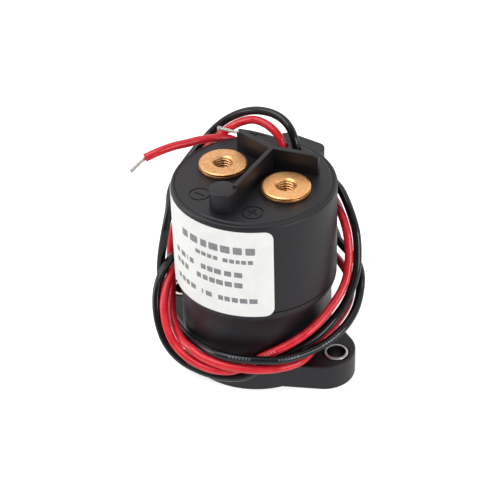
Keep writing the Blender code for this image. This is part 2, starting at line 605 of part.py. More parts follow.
# Arc chamber, its sealing ring and the arc shield that closes it below.
chamber_in = CHAMBER_R - CHAMBER_WALL
chamber = lathe("ceramic_arc_chamber", [
    (0.0, CHAMBER_Z[1]), (CHAMBER_R - CHAMBER_EDGE, CHAMBER_Z[1]),
    (CHAMBER_R, CHAMBER_Z[1] - CHAMBER_EDGE), (CHAMBER_R, CHAMBER_Z[0]), (chamber_in, CHAMBER_Z[0]),
    (chamber_in, CHAMBER_Z[1] - CHAMBER_TOP), (0.0, CHAMBER_Z[1] - CHAMBER_TOP)],
    MEDIUM, CERAMIC)
for side, label in ((-1, "left"), (1, "right")):
    hole = rod("chamber_hole_" + label, TERMINAL_NECK_R + FIT_GAP, CHAMBER_Z[1] - CHAMBER_TOP - CUT_PAST,
               CHAMBER_Z[1] + CUT_PAST, SMALL,
               (side * TERMINAL_X, TERMINAL_Y))
    combine(chamber, hole, "DIFFERENCE")
settle(chamber)
settle(lathe("sealing_ring", [
    (RING_R[0], RING_Z[1]), (RING_R[1], RING_Z[1]), (RING_R[1], RING_Z[0]), (RING_R[0], RING_Z[0])],
    MEDIUM, STEEL, closed=True))
foot_z, floor_z, rim_z, collar_z = SHIELD_Z
shield_bore = SLIDE_R + 0.0002
settle(lathe("arc_shield", [
    (shield_bore, collar_z), (COLLAR_R, collar_z), (COLLAR_R, floor_z),
    (SHIELD_R - SHIELD_RIM_WALL, floor_z), (SHIELD_R - SHIELD_RIM_WALL, rim_z), (SHIELD_R, rim_z),
    (SHIELD_R, foot_z), (shield_bore, foot_z)], MEDIUM, CERAMIC, closed=True))

# Blowout magnets either side of the chamber, and the steel band that joins their fields.
for side, label in ((-1, "left"), (1, "right")):
    inner, outer = side * MAGNET_X[0], side * MAGNET_X[1]
    magnet = block("blowout_magnet_" + label, (min(inner, outer), -MAGNET_HALF_WIDE, MAGNET_Z[0]),
                   (max(inner, outer), MAGNET_HALF_WIDE, MAGNET_Z[1]), FERRITE)
    bevel(magnet, 0.0003)
    settle(magnet)
band = arc((0.0, 0.0), BAND_R[1], 90 + BAND_OPEN_DEG, 450 - BAND_OPEN_DEG, 44)
band += arc((0.0, 0.0), BAND_R[0], 450 - BAND_OPEN_DEG, 90 + BAND_OPEN_DEG, 44)
settle(prism("magnet_yoke", band, BAND_Z[0], BAND_Z[1], STEEL))

# Magnet frame: yoke cup, pole plate, bobbin, winding and tape, core tube and fixed core.
settle(lathe("yoke_cup", [
    (YOKE_R - YOKE_WALL, YOKE_Z[1]), (YOKE_R, YOKE_Z[1]), (YOKE_R, YOKE_Z[0] + YOKE_CORNER),
    (YOKE_R - YOKE_CORNER, YOKE_Z[0]), (YOKE_HOLE_R, YOKE_Z[0]), (YOKE_HOLE_R, YOKE_Z[0] + YOKE_WALL),
    (YOKE_R - YOKE_WALL, YOKE_Z[0] + YOKE_WALL)], MEDIUM, STEEL, closed=True))
settle(lathe("top_yoke_plate", [
    (SLIDE_R, PLATE_Z[1]), (PLATE_R, PLATE_Z[1]), (PLATE_R, PLATE_Z[0]), (SLIDE_R, PLATE_Z[0])],
    MEDIUM, STEEL, closed=True))
hub_r = BOBBIN_BORE_R + BOBBIN_WALL
settle(lathe("coil_bobbin", [
    (BOBBIN_BORE_R, BOBBIN_Z[1]), (BOBBIN_R, BOBBIN_Z[1]), (BOBBIN_R, BOBBIN_Z[1] - BOBBIN_WALL),
    (hub_r, BOBBIN_Z[1] - BOBBIN_WALL), (hub_r, BOBBIN_Z[0] + BOBBIN_WALL),
    (BOBBIN_R, BOBBIN_Z[0] + BOBBIN_WALL), (BOBBIN_R, BOBBIN_Z[0]), (BOBBIN_BORE_R, BOBBIN_Z[0])],
    MEDIUM, NYLON, closed=True))
settle(lathe("coil_winding", [
    (hub_r + FIT_GAP, WINDING_Z[1]), (WINDING_R, WINDING_Z[1]), (WINDING_R, WINDING_Z[0]),
    (hub_r + FIT_GAP, WINDING_Z[0])], MEDIUM, ENAMEL, closed=True))
wrap_r = (WINDING_R + FIT_GAP, WINDING_R + FIT_GAP + WRAP_THICK)
wrap_z = (WINDING_Z[0] + WRAP_INSET, WINDING_Z[1] - WRAP_INSET)
settle(lathe("coil_wrap", [
    (wrap_r[0], wrap_z[1]), (wrap_r[1], wrap_z[1]), (wrap_r[1], wrap_z[0]), (wrap_r[0], wrap_z[0])],
    MEDIUM, TAPE, closed=True))
settle(lathe("core_sleeve", [
    (0.0, SLEEVE_Z[0] + SLEEVE_FLOOR), (SLEEVE_R[0], SLEEVE_Z[0] + SLEEVE_FLOOR),
    (SLEEVE_R[0], SLEEVE_Z[1]), (SLEEVE_R[1], SLEEVE_Z[1]), (SLEEVE_R[1], SLEEVE_Z[0] + SLEEVE_EDGE),
    (SLEEVE_R[1] - SLEEVE_EDGE, SLEEVE_Z[0]), (0.0, SLEEVE_Z[0])], TINY, STEEL))
settle(lathe("fixed_core", [
    (SLIDE_R, CORE_Z[1]), (PLUNGER_R, CORE_Z[1]), (PLUNGER_R, CORE_Z[0]), (RECESS_R, CORE_Z[0]),
    (RECESS_R, RECESS_TOP_Z), (SLIDE_R, RECESS_TOP_Z)], TINY, STEEL, closed=True))

# Armature: plunger, shaft with its clip groove, spring seat and clip. It lifts along +Z.
settle(lathe("plunger", [
    (SLIDE_R, PLUNGER_Z[1]), (PLUNGER_R - PLUNGER_EDGE, PLUNGER_Z[1]),
    (PLUNGER_R, PLUNGER_Z[1] - PLUNGER_EDGE), (PLUNGER_R, PLUNGER_Z[0] + PLUNGER_EDGE),
    (PLUNGER_R - PLUNGER_EDGE, PLUNGER_Z[0]), (SLIDE_R, PLUNGER_Z[0])],
    TINY, STEEL, closed=True))
groove = (CLIP_Z[0] - FIT_GAP, CLIP_Z[1] + FIT_GAP)
settle(lathe("plunger_shaft", [
    (0.0, SHAFT_Z[1]), (SHAFT_R - SHAFT_EDGE, SHAFT_Z[1]), (SHAFT_R, SHAFT_Z[1] - SHAFT_EDGE),
    (SHAFT_R, groove[1]), (GROOVE_R, groove[1]), (GROOVE_R, groove[0]), (SHAFT_R, groove[0]),
    (SHAFT_R, SHAFT_Z[0]), (0.0, SHAFT_Z[0])], TINY, STEEL))
settle(lathe("spring_seat", [
    (SLIDE_R, SEAT_Z[1]), (SEAT_R, SEAT_Z[1]), (SEAT_R, SEAT_Z[0]), (SLIDE_R, SEAT_Z[0])],
    TINY, NYLON, closed=True))
clip_bore = GROOVE_R + FIT_GAP
clip = lathe("shaft_clip", [
    (clip_bore, CLIP_Z[1]), (CLIP_R, CLIP_Z[1]), (CLIP_R, CLIP_Z[0]), (clip_bore, CLIP_Z[0])],
    TINY, STEEL, closed=True)
mouth = block("clip_mouth", (0.0, -CLIP_MOUTH / 2, groove[0]),
              (CLIP_R + SHAFT_R, CLIP_MOUTH / 2, groove[1]), cutter=True)
combine(clip, mouth, "DIFFERENCE")
settle(clip)

# Contact bridge with a raised pad under each fixed contact, pushed up by the contact spring.
half_long = TERMINAL_X + BRIDGE_END
bridge_top = BRIDGE_LOW_Z + BRIDGE_THICK
bridge = block("moving_contact_bridge", (-half_long, -BRIDGE_WIDE / 2, BRIDGE_LOW_Z),
               (half_long, BRIDGE_WIDE / 2, bridge_top), COPPER)
bevel(bridge, BRIDGE_EDGE)
for side, label in ((-1, "left"), (1, "right")):
    pad = lathe("bridge_pad_" + label, [
        (0.0, bridge_top + PAD_HIGH), (PAD_R[0], bridge_top + PAD_HIGH),
        (PAD_R[1], bridge_top - PAD_HIGH), (0.0, bridge_top - PAD_HIGH)],
        TINY, cutter=True, at=(side * TERMINAL_X, TERMINAL_Y))
    combine(bridge, pad, "UNION")
combine(bridge, rod("bridge_hole", SLIDE_R, SEAT_Z[1], SHAFT_Z[1], TINY), "DIFFERENCE")
settle(bridge)
coil_spring("contact_spring", SPRING_LOW_Z, BRIDGE_LOW_Z - FIT_GAP, 5.5, STEEL)
coil_spring("return_spring", PLUNGER_Z[1] + FIT_GAP, RECESS_TOP_Z - FIT_GAP, 4.5, STEEL)

# Coil leads in the open, and the bared strands at their cut ends.
for label, route, mat in (("black", BLACK_ROUTE, BLACK_PVC), ("red", RED_ROUTE, RED_PVC)):
    points = smooth_route(route)
    wire(label + "_lead", points, LEAD_D, mat)
    if label == "black":
        tail = [around(*stop) for stop in BLACK_STRANDS]
    else:
        tail = [around(*stop) for stop in RED_STRANDS]
    start = points[-1] + (points[-1] - points[-2]).normalized() * FIT_GAP
    wire(label + "_lead_strands", [start] + tail, STRAND_D, TINNED, sides=6)
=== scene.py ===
import math

import bmesh
import bpy
from mathutils import Matrix, Vector


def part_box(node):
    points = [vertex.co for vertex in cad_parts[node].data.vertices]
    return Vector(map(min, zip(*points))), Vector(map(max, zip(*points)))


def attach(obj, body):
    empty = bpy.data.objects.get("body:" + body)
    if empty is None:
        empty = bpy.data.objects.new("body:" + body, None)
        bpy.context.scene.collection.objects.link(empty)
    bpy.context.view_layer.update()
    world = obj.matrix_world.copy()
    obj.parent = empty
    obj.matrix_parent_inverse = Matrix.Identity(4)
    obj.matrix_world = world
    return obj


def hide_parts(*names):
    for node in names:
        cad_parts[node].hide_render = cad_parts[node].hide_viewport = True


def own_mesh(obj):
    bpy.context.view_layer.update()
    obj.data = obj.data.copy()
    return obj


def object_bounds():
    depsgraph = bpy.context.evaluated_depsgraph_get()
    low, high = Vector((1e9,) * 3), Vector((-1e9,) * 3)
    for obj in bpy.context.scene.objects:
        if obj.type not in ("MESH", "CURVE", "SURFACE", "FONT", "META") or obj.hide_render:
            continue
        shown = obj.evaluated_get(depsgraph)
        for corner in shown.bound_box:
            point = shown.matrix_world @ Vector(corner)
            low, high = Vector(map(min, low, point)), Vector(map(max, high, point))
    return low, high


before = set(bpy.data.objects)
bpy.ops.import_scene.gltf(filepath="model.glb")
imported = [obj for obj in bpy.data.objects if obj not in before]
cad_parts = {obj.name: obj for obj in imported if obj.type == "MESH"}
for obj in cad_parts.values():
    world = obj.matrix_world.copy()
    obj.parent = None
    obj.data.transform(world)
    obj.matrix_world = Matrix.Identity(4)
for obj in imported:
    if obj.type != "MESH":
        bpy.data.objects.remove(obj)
cad_low, cad_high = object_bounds()
scene = bpy.context.scene

# Camera: a long lens in front of the contactor, above it and to its right, aimed at the
# middle of the case and rolled a little, as it was held for the product photograph.
CAMERA_TURN = math.radians(36.015)
CAMERA_RISE = math.radians(36.252)
CAMERA_ROLL = math.radians(-1.637)
CAMERA_FAR = 0.45244
AIM_ASIDE = -0.001645
AIM_HEIGHT = 0.033447
FOCAL_LENGTH_MM = 114.84
SENSOR_MM = 36.0
CLIP_START = 0.01

towards = Vector((math.sin(CAMERA_TURN) * math.cos(CAMERA_RISE),
                  -math.cos(CAMERA_TURN) * math.cos(CAMERA_RISE), math.sin(CAMERA_RISE)))
level = Vector((math.cos(CAMERA_TURN), math.sin(CAMERA_TURN), 0.0))
upright = towards.cross(level)
right = level * math.cos(CAMERA_ROLL) + upright * math.sin(CAMERA_ROLL)
up = upright * math.cos(CAMERA_ROLL) - level * math.sin(CAMERA_ROLL)
lens = bpy.data.cameras.new("camera")
lens.lens = FOCAL_LENGTH_MM
lens.sensor_width = SENSOR_MM
lens.clip_start = CLIP_START
camera = bpy.data.objects.new("camera", lens)
stand = Vector((0.0, 0.0, AIM_HEIGHT)) + level * AIM_ASIDE + towards * CAMERA_FAR
camera.matrix_world = Matrix.Translation(stand) @ Matrix((right, up, towards)).transposed().to_4x4()
scene.collection.objects.link(camera)
scene.camera = camera

# Table and light: a white sweep lit from above by one large softbox, with a weaker panel
# on either side. The sweep and the room show as plain white, and the sweep keeps shadows.
TABLE_WHITE = "#EDEDEC"
TABLE_SIZE = 3.0
TABLE_GAP = 0.00002
TABLE_GLOW = 0.64
TABLE_IN_SHINE = 1.0
ROOM_LIGHT = 0.46
ROOM_BEHIND_CAMERA = 0.22
ROOM_DIMS_FROM = (-0.1, 0.5)
SOFTBOXES = (
    ("softbox_above", (-0.25, -0.30, 0.85), 0.70, 4.2),
    ("softbox_right", (0.80, -0.10, 0.30), 0.40, 3.0),
    ("softbox_left", (-0.70, -0.50, 0.25), 0.40, 1.9),
)


def srgb(code):
    """Linear light from an sRGB hex colour."""
    levels = [int(code[i:i + 2], 16) / 255 for i in (1, 3, 5)]
    return [v / 12.92 if v <= 0.04045 else ((v + 0.055) / 1.055) ** 2.4 for v in levels] + [1.0]


def add_node(tree, kind, given=()):
    """Add a node. What is given, by name or socket number, is linked if it is a socket of
    another node and set if it is a value."""
    node = tree.nodes.new(kind)
    for name, value in dict(given).items():
        if isinstance(value, bpy.types.NodeSocket):
            tree.links.new(value, node.inputs[name])
        elif isinstance(name, int) or name in node.inputs:
            node.inputs[name].default_value = value
        else:
            setattr(node, name, value)
    return node


def beside(kind, given):
    """Add a node in the tree of the first socket that it is given, and return its outputs."""
    source = next(value for value in given.values() if isinstance(value, bpy.types.NodeSocket))
    return add_node(source.id_data, kind, given).outputs


def maths(operation, *values):
    """One step of arithmetic on sockets and numbers."""
    return beside("ShaderNodeMath", {"operation": operation, **dict(enumerate(values))})[0]


def vector_maths(operation, given, result="Vector"):
    """One step of arithmetic on vectors, given by name or socket number."""
    return beside("ShaderNodeVectorMath", {"operation": operation, **given})[result]


def ramp(source, low, high, to_low=0.0, to_high=1.0):
    """Stretch one range of a pattern to another, and hold its ends there."""
    return beside("ShaderNodeMapRange", {"From Min": low, "From Max": high, "To Min": to_low,
                                         "To Max": to_high, "Value": source})[0]


def cleared_tree(holder):
    """The empty node tree of a new material or world, and what tells its rays apart: 1 for
    the rays of the camera, and 1 for those of shiny surfaces."""
    holder.use_nodes = True
    holder.node_tree.nodes.clear()
    path = add_node(holder.node_tree, "ShaderNodeLightPath").outputs
    shiny = maths("MAXIMUM", path["Is Glossy Ray"], path["Is Transmission Ray"])
    return holder.node_tree, path["Is Camera Ray"], shiny


table_mesh = bpy.data.meshes.new("table")
half = TABLE_SIZE / 2
table_mesh.from_pydata([(-half, -half, 0.0), (half, -half, 0.0), (half, half, 0.0), (-half, half, 0.0)],
                       [], [(0, 1, 2, 3)])
table = bpy.data.objects.new("table", table_mesh)
table.location.z = cad_low.z - TABLE_GAP
scene.collection.objects.link(table)
sweep = bpy.data.materials.new("white_paper_sweep")
tree, seen_by_camera, seen_by_shine = cleared_tree(sweep)
paper = add_node(tree, "ShaderNodeBsdfDiffuse", {"Color": srgb(TABLE_WHITE)})
glow = add_node(tree, "ShaderNodeEmission", {"Strength": maths("MULTIPLY", seen_by_camera, TABLE_GLOW)})
shown = add_node(tree, "ShaderNodeAddShader", {0: paper.outputs[0], 1: glow.outputs[0]})
white = add_node(tree, "ShaderNodeEmission", {"Strength": TABLE_IN_SHINE})
choice = add_node(tree, "ShaderNodeMixShader",
                  {"Fac": seen_by_shine, 1: shown.outputs[0], 2: white.outputs[0]})
add_node(tree, "ShaderNodeOutputMaterial", {"Surface": choice.outputs[0]})
table_mesh.materials.append(sweep)

room = bpy.data.worlds.new("white_room")
tree, seen_by_camera, seen_by_shine = cleared_tree(room)
way_out = add_node(tree, "ShaderNodeTexCoord").outputs["Generated"]
to_camera = vector_maths("DOT_PRODUCT", {0: way_out, 1: (towards.x, towards.y, 0.0)}, "Value")
dim = ramp(to_camera, *ROOM_DIMS_FROM, 1.0, ROOM_BEHIND_CAMERA)
in_shine = add_node(tree, "ShaderNodeMix", {"data_type": "FLOAT", 2: 1.0, 0: seen_by_shine, 3: dim})
seen = maths("MAXIMUM", seen_by_camera, seen_by_shine)
strength = ramp(seen, 0.0, 1.0, ROOM_LIGHT, in_shine.outputs[0])
background = add_node(tree, "ShaderNodeBackground", {"Color": srgb("#FFFFFF"), "Strength": strength})
add_node(tree, "ShaderNodeOutputWorld", {"Surface": background.outputs[0]})
scene.world = room

for name, place, size, power in SOFTBOXES:
    panel = bpy.data.lights.new(name, "AREA")
    panel.shape = "SQUARE"
    panel.size = size
    panel.energy = power
    lamp = bpy.data.objects.new(name, panel)
    lamp.location = place
    aim = Vector((0.0, 0.0, AIM_HEIGHT)) - Vector(place)
    lamp.rotation_euler = aim.to_track_quat("-Z", "Y").to_euler()
    scene.collection.objects.link(lamp)
scene.view_settings.view_transform = "Standard"

# Lower case: a round cup moulded in black glass filled polyester, with a base flange, two
# mounting ears, a narrower waist, a shoulder and the spigot that the upper housing fits over.
FINE_STEPS = 192
HOUSING_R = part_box("upper_housing")[1].x
PARTING_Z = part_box("upper_housing")[0].z
SPIGOT_TOP_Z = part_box("lower_case")[1].z
EAR_TIP_R = 0.0091
EAR_TIP_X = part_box("lower_case")[1].x - EAR_TIP_R
EAR_FLANK_DEG = 27.5
FIT_GAP = 0.0003
BASE_R = 0.0219
BASE_HIGH = 0.0082
WAIST_R = 0.0215
WAIST_DRAFT = 0.0003
WAIST_TOP_Z = 0.0228
WAIST_FOOT_Z = 0.0010
SHOULDER_Z = 0.0268
SHOULDER_EASE = (0.0011, 0.0028)
SPIGOT_R = 0.0209
CASE_BORE_R = 0.0194
CASE_FLOOR_Z = 0.0022
EDGE_EASE = 0.0004
FINE_EASE = 0.0001
SPIGOT_EASE = 0.0003
PARTING_EASE = 0.0002
ARC_STEPS = (40, 60)
EAR_HOLE_FLARE = 0.0002
CUT_PAST = 0.0010
SAME_PLACE = 0.000001
bush_low, bush_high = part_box("mounting_bush_right")
BUSH_R = (bush_high.x - bush_low.x) / 2
BUSH_X = (bush_high.x + bush_low.x) / 2


def eased(corners, closed=False, cuts=4):
    """Points of a profile whose corners, given as (radius, height, ease), are rounded."""
    points = []
    for i, (r, z, ease) in enumerate(corners):
        corner = Vector((r, z))
        open_end = not closed and i in (0, len(corners) - 1)
        if ease <= 0 or open_end:
            points.append(corner)
            continue
        before = Vector(corners[i - 1][:2]) - corner
        after = Vector(corners[(i + 1) % len(corners)][:2]) - corner
        start = corner + before.normalized() * ease
        end = corner + after.normalized() * ease
        for k in range(cuts + 1):
            share = k / cuts
            points.append(start.lerp(corner, share).lerp(corner.lerp(end, share), share))
    return points


def mesh_object(name, mesh):
    """Link a mesh as an object at the origin."""
    obj = bpy.data.objects.new(name, mesh)
    scene.collection.objects.link(obj)
    return obj


def cleaned(name, bm):
    """Merge the doubles of a new shape, point its faces outwards and link it."""
    bmesh.ops.remove_doubles(bm, verts=bm.verts, dist=SAME_PLACE)
    bmesh.ops.recalc_face_normals(bm, faces=bm.faces)
    mesh = bpy.data.meshes.new(name)
    bm.to_mesh(mesh)
    bm.free()
    return mesh_object(name, mesh)


def turned(name, profile, steps=FINE_STEPS, closed=False, at=(0.0, 0.0), shaped=None):
    """Turn a profile of (radius, height) points about an upright axis, as on a lathe. What
    shapes it further gives the radius anew from radius, height and share of the turn."""
    bm = bmesh.new()
    rows = []
    for r, z in profile:
        if r < SAME_PLACE:
            rows.append([bm.verts.new((*at, z))] * steps)
            continue
        row = []
        for k in range(steps):
            reach = shaped(r, z, k / steps) if shaped else r
            turn = math.tau * k / steps
            row.append(bm.verts.new((at[0] + reach * math.cos(turn), at[1] + reach * math.sin(turn), z)))
        rows.append(row)
    pairs = list(zip(rows, rows[1:]))
    if closed:
        pairs.append((rows[-1], rows[0]))
    for low, high in pairs:
        for k in range(steps):
            j = (k + 1) % steps
            ring = list(dict.fromkeys([low[k], low[j], high[j], high[k]]))
            if len(ring) > 2:
                bm.faces.new(ring)
    return cleaned(name, bm)


def rod(name, radius, low, high, steps, at=(0.0, 0.0)):
    """A plain round bar between two heights."""
    return turned(name, [(0.0, low), (radius, low), (radius, high), (0.0, high)], steps, at=at)


def prism(name, outline, low, high, ease=(0.0, 0.0), place=None, cuts=4):
    """Extrude a flat outline between two heights, rounded inwards at its two ends."""
    flat = [Vector(p) for p in outline]
    area = sum(a.x * b.y - b.x * a.y for a, b in zip(flat, flat[1:] + flat[:1]))
    if area < 0:
        flat.reverse()
    inward = []
    for before, here, after in zip(flat[-1:] + flat[:-1], flat, flat[1:] + flat[:1]):
        came = (here - before).normalized()
        goes = (after - here).normalized()
        sides = Vector((-came.y - goes.y, came.x + goes.x))
        inward.append(sides / (1 + came.dot(goes)))
    stages = []
    for end, width, step in ((low, ease[0], 1), (high, ease[1], -1)):
        arc_points = []
        for k in range(cuts + 1 if width > 0 else 1):
            turn = math.pi / 2 * k / cuts
            arc_points.append((width * (1 - math.sin(turn)), end + step * width * (1 - math.cos(turn))))
        stages += arc_points[::step]
    bm = bmesh.new()
    rings = [[bm.verts.new((*(p + n * inset), z)) for p, n in zip(flat, inward)] for inset, z in stages]
    for lower, upper in zip(rings, rings[1:]):
        for k in range(len(flat)):
            j = (k + 1) % len(flat)
            bm.faces.new((lower[k], lower[j], upper[j], upper[k]))
    bm.faces.new(rings[0][::-1])
    bm.faces.new(rings[-1])
    if place:
        bmesh.ops.transform(bm, matrix=place, verts=bm.verts)
    return cleaned(name, bm)


def arc(centre, radius, start, end, steps):
    """Points along an arc between two angles in degrees, both ends included."""
    turns = [math.radians(start + (end - start) * i / steps) for i in range(steps + 1)]
    return [(centre[0] + radius * math.cos(t), centre[1] + radius * math.sin(t)) for t in turns]


def worked(obj, joined=(), cut=(), sharp=32):
    """Join some shapes to a piece and cut others from it, and shade its round faces smooth."""
    for operation, others in (("UNION", joined), ("DIFFERENCE", cut)):
        for other in others:
            step = obj.modifiers.new(operation.title(), "BOOLEAN")
            step.operation = operation
            step.object = other
            step.solver = "EXACT"
    graph = bpy.context.evaluated_depsgraph_get()
    mesh = bpy.data.meshes.new_from_object(obj.evaluated_get(graph))
    obj.modifiers.clear()
    obj.data = mesh
    bm = bmesh.new()
    bm.from_mesh(mesh)
    bmesh.ops.remove_doubles(bm, verts=bm.verts, dist=SAME_PLACE)
    bm.to_mesh(mesh)
    bm.free()
    for other in (*joined, *cut):
        bpy.data.objects.remove(other, do_unlink=True)
    mesh.shade_smooth()
    mesh.set_sharp_from_angle(angle=math.radians(sharp))
    obj.modifiers.new("Even shading", "WEIGHTED_NORMAL").keep_sharp = True
    return obj


def fit(obj, mat, node, body="case"):
    """Finish a piece in its material, let it ride on its body and stand for its CAD node."""
    obj.data.materials.clear()
    obj.data.materials.append(mat)
    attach(obj, body)
    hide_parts(node)


def surface(name, roughness, metallic=0.0, **sockets):
    """A new material, with what is the same all over it set on its shader, and its object
    coordinates."""
    mat = bpy.data.materials.new(name)
    mat.use_nodes = True
    shader = mat.node_tree.nodes["Principled BSDF"]
    shader.inputs["Roughness"].default_value = roughness
    shader.inputs["Metallic"].default_value = metallic
    for socket, value in sockets.items():
        shader.inputs[socket.replace("_", " ")].default_value = value
    return mat, add_node(mat.node_tree, "ShaderNodeTexCoord").outputs["Object"]


def noise(place, per_metre, detail, roughness=0.5):
    """A cloudy pattern with so many clouds to the metre."""
    return beside("ShaderNodeTexNoise", {"Scale": per_metre, "Detail": detail,
                                         "Roughness": roughness, "Vector": place})[0]


def between(factor, first, second):
    """A colour between two, each given as a hex tone or a socket."""
    first, second = (srgb(end) if isinstance(end, str) else end for end in (first, second))
    return beside("ShaderNodeMix", {"data_type": "RGBA", 6: first, 7: second, 0: factor})[2]


def two_tones(pattern, dark, light, low=0.35, high=0.65):
    """A colour that goes from one hex tone to another with a pattern."""
    return between(ramp(pattern, low, high), dark, light)


def coated(mat, colour, rough=None, height=None, depth=0.0, strength=1.0):
    """Link a material's colour, its roughness and its relief, which has a depth in metres."""
    tree = mat.node_tree
    shader = tree.nodes["Principled BSDF"]
    tree.links.new(colour, shader.inputs["Base Color"])
    if rough is not None:
        tree.links.new(rough, shader.inputs["Roughness"])
    if height is not None:
        bump = beside("ShaderNodeBump", {"Strength": strength, "Distance": depth, "Height": height})
        tree.links.new(bump[0], shader.inputs["Normal"])
    return mat


def moulded_polyester():
    """Glass filled polyester, injection moulded in a spark eroded tool: a deep black that
    goes grey where light grazes it, with a fine matt grain and faint cloudy flow."""
    grain_mm = 0.35
    flow_mm = 9.0
    mat, place = surface("moulded_polyester", 0.46, IOR=1.48, Specular_Tint=(1.0, 0.95, 1.0, 1.0))
    grain = noise(place, 1000 / grain_mm, 3.0)
    flow = noise(place, 1000 / flow_mm, 4.0)
    return coated(mat, two_tones(flow, "#0B0A0D", "#110F13"),
                  ramp(flow, 0.3, 0.7, 0.42, 0.50), grain, 0.000012, 0.6)


POLYESTER = moulded_polyester()


def mounting_outline():
    """The base seen from above: a disc with two ears whose flanks run tangent to the tips."""
    lean = math.radians(EAR_FLANK_DEG)
    normal = Vector((math.sin(lean), math.cos(lean)))
    reach = (Vector((EAR_TIP_X, 0.0)) + EAR_TIP_R * normal).dot(normal)
    along = math.sqrt(BASE_R ** 2 - reach ** 2)
    meet = normal * reach + along * Vector((math.cos(lean), -math.sin(lean)))
    edge = math.degrees(math.atan2(meet.y, meet.x))
    tip = 90 - EAR_FLANK_DEG
    points = []
    for side in (0, 180):
        centre = (EAR_TIP_X * math.cos(math.radians(side)), 0.0)
        points += arc(centre, EAR_TIP_R, side - tip, side + tip, ARC_STEPS[0])
        points += arc((0.0, 0.0), BASE_R, side + edge, side + 180 - edge, ARC_STEPS[1])
    return points


case_body = turned("moulded_case", eased([
    (0.0, SPIGOT_TOP_Z, 0), (SPIGOT_R, SPIGOT_TOP_Z, SPIGOT_EASE), (SPIGOT_R, PARTING_Z - FIT_GAP, 0),
    (HOUSING_R, PARTING_Z - FIT_GAP, PARTING_EASE), (HOUSING_R, SHOULDER_Z, SHOULDER_EASE[0]),
    (WAIST_R, WAIST_TOP_Z, SHOULDER_EASE[1]), (WAIST_R + WAIST_DRAFT, WAIST_FOOT_Z, 0),
    (0.0, WAIST_FOOT_Z, 0)], cuts=8))
flange = prism("flange", mounting_outline(), 0.0, BASE_HIGH, (EDGE_EASE, EDGE_EASE))
ear_holes = []
hole_r = BUSH_R + FIT_GAP
for side in (-1, 1):
    ear_holes.append(turned("ear_hole", [
        (0.0, -CUT_PAST), (hole_r, -CUT_PAST), (hole_r, BASE_HIGH - EAR_HOLE_FLARE),
        (hole_r + 2 * EAR_HOLE_FLARE, BASE_HIGH + EAR_HOLE_FLARE), (0.0, BASE_HIGH + EAR_HOLE_FLARE)],
        64, at=(side * BUSH_X, 0.0)))
case_bore = rod("case_bore", CASE_BORE_R, CASE_FLOOR_Z, SPIGOT_TOP_Z + CUT_PAST, 96)
worked(case_body, [flange], [case_bore, *ear_holes])
fit(case_body, POLYESTER, "lower_case")

# Mounting bushes: zinc plated steel sleeves pressed into the ears, which take the load of
# the fixing screws. Each is cut from tube, faced on a lathe and eased at its rims.
BUSH_BORE_R = 0.0026
BUSH_EASE = (0.0002, 0.0003)
BUSH_STEPS = 96


def lathe_map(place, centre, ring_mm):
    """How far a point is from a turned piece's own axis, and the phase of its fine rings."""
    own = beside("ShaderNodeMapping", {"Location": (-centre[0], -centre[1], 0.0), "Vector": place})
    flat = vector_maths("MULTIPLY", {0: own[0], 1: (1.0, 1.0, 0.0)})
    reach = vector_maths("LENGTH", {0: flat}, "Value")
    return reach, maths("MULTIPLY", reach, math.tau * 1000 / ring_mm)


def lathe_steel(name, centre):
    """Zinc plated steel faced on a lathe: pale, with fine rings about its own axis, drawn
    a little coarser than the tool leaves them, and with painted shade in the bore."""
    ring_mm = 0.22
    roughness = 0.36
    bore_edge = (0.00008, 0.0002)
    mat, place = surface(name, roughness, 1.0)
    reach, turns = lathe_map(place, centre, ring_mm)
    cloud = noise(place, 500.0, 2.0)
    # Painted shade: the bore wall takes a dark grey tone, and the plated tones begin just outside it.
    clear_of_bore_shade = ramp(reach, BUSH_BORE_R + bore_edge[0], BUSH_BORE_R + bore_edge[1])
    plated = two_tones(cloud, "#C4C5C2", "#D6D7D4")
    return coated(mat, between(clear_of_bore_shade, "#3C3E43", plated),
                  ramp(cloud, 0.3, 0.7, roughness - 0.04, roughness + 0.06),
                  ramp(maths("SINE", turns), -1.0, 1.0), 0.000003, 0.25)


top = bush_high.z
for side, label in ((-1, "left"), (1, "right")):
    spot = (side * BUSH_X, 0.0)
    sleeve = turned("steel_sleeve_" + label, eased([
        (BUSH_BORE_R, top, BUSH_EASE[1]), (BUSH_R, top, BUSH_EASE[1]), (BUSH_R, 0.0, BUSH_EASE[0]),
        (BUSH_BORE_R, 0.0, BUSH_EASE[0])], closed=True), BUSH_STEPS, closed=True, at=spot)
    worked(sleeve)
    fit(sleeve, lathe_steel("zinc_plated_steel_" + label, spot),
        "mounting_bush_" + label)

# Coil and magnet frame, sealed in the lower case: a nylon bobbin wound with enamelled wire
# under a polyester tape, in a cup, pole plate, tube and core of soft iron. They keep their
# CAD shapes, and each gets the finish that it has before the case is closed.
WIRE_PITCH_MM = 0.25


def plated_iron(name, tone, shade, cloud_mm, roughness):
    """Soft iron pressed or turned and nickel plated: grey, with faint clouds and fine pits.
    Other bare metals take it with their own tones."""
    mat, place = surface(name, roughness, 1.0)
    cloud = noise(place, 1000 / cloud_mm, 5.0)
    pits = noise(place, 4000.0, 2.0)
    return coated(mat, two_tones(cloud, shade, tone),
                  ramp(cloud, 0.3, 0.7, roughness - 0.05, roughness + 0.1), pits, 0.000008, 0.5)


def wound_wire():
    """Enamelled copper wire in close turns: reddish brown and glossy, one ridge to a turn,
    with painted shade in the grooves between turns and a painted highlight on each crest.
    """
    mat, place = surface("enamelled_wire", 0.3, 0.6)
    height = beside("ShaderNodeSeparateXYZ", {0: place})["Z"]
    turns = maths("MULTIPLY", height, math.tau * 1000 / WIRE_PITCH_MM)
    crest = ramp(maths("SINE", turns), -1.0, 1.0)
    # Painted shade and highlight: the colour runs from dark brown in each groove to light brown on each
    # crest.
    return coated(mat, between(crest, "#5A2410", "#B0542A"), height=crest, depth=0.00006)


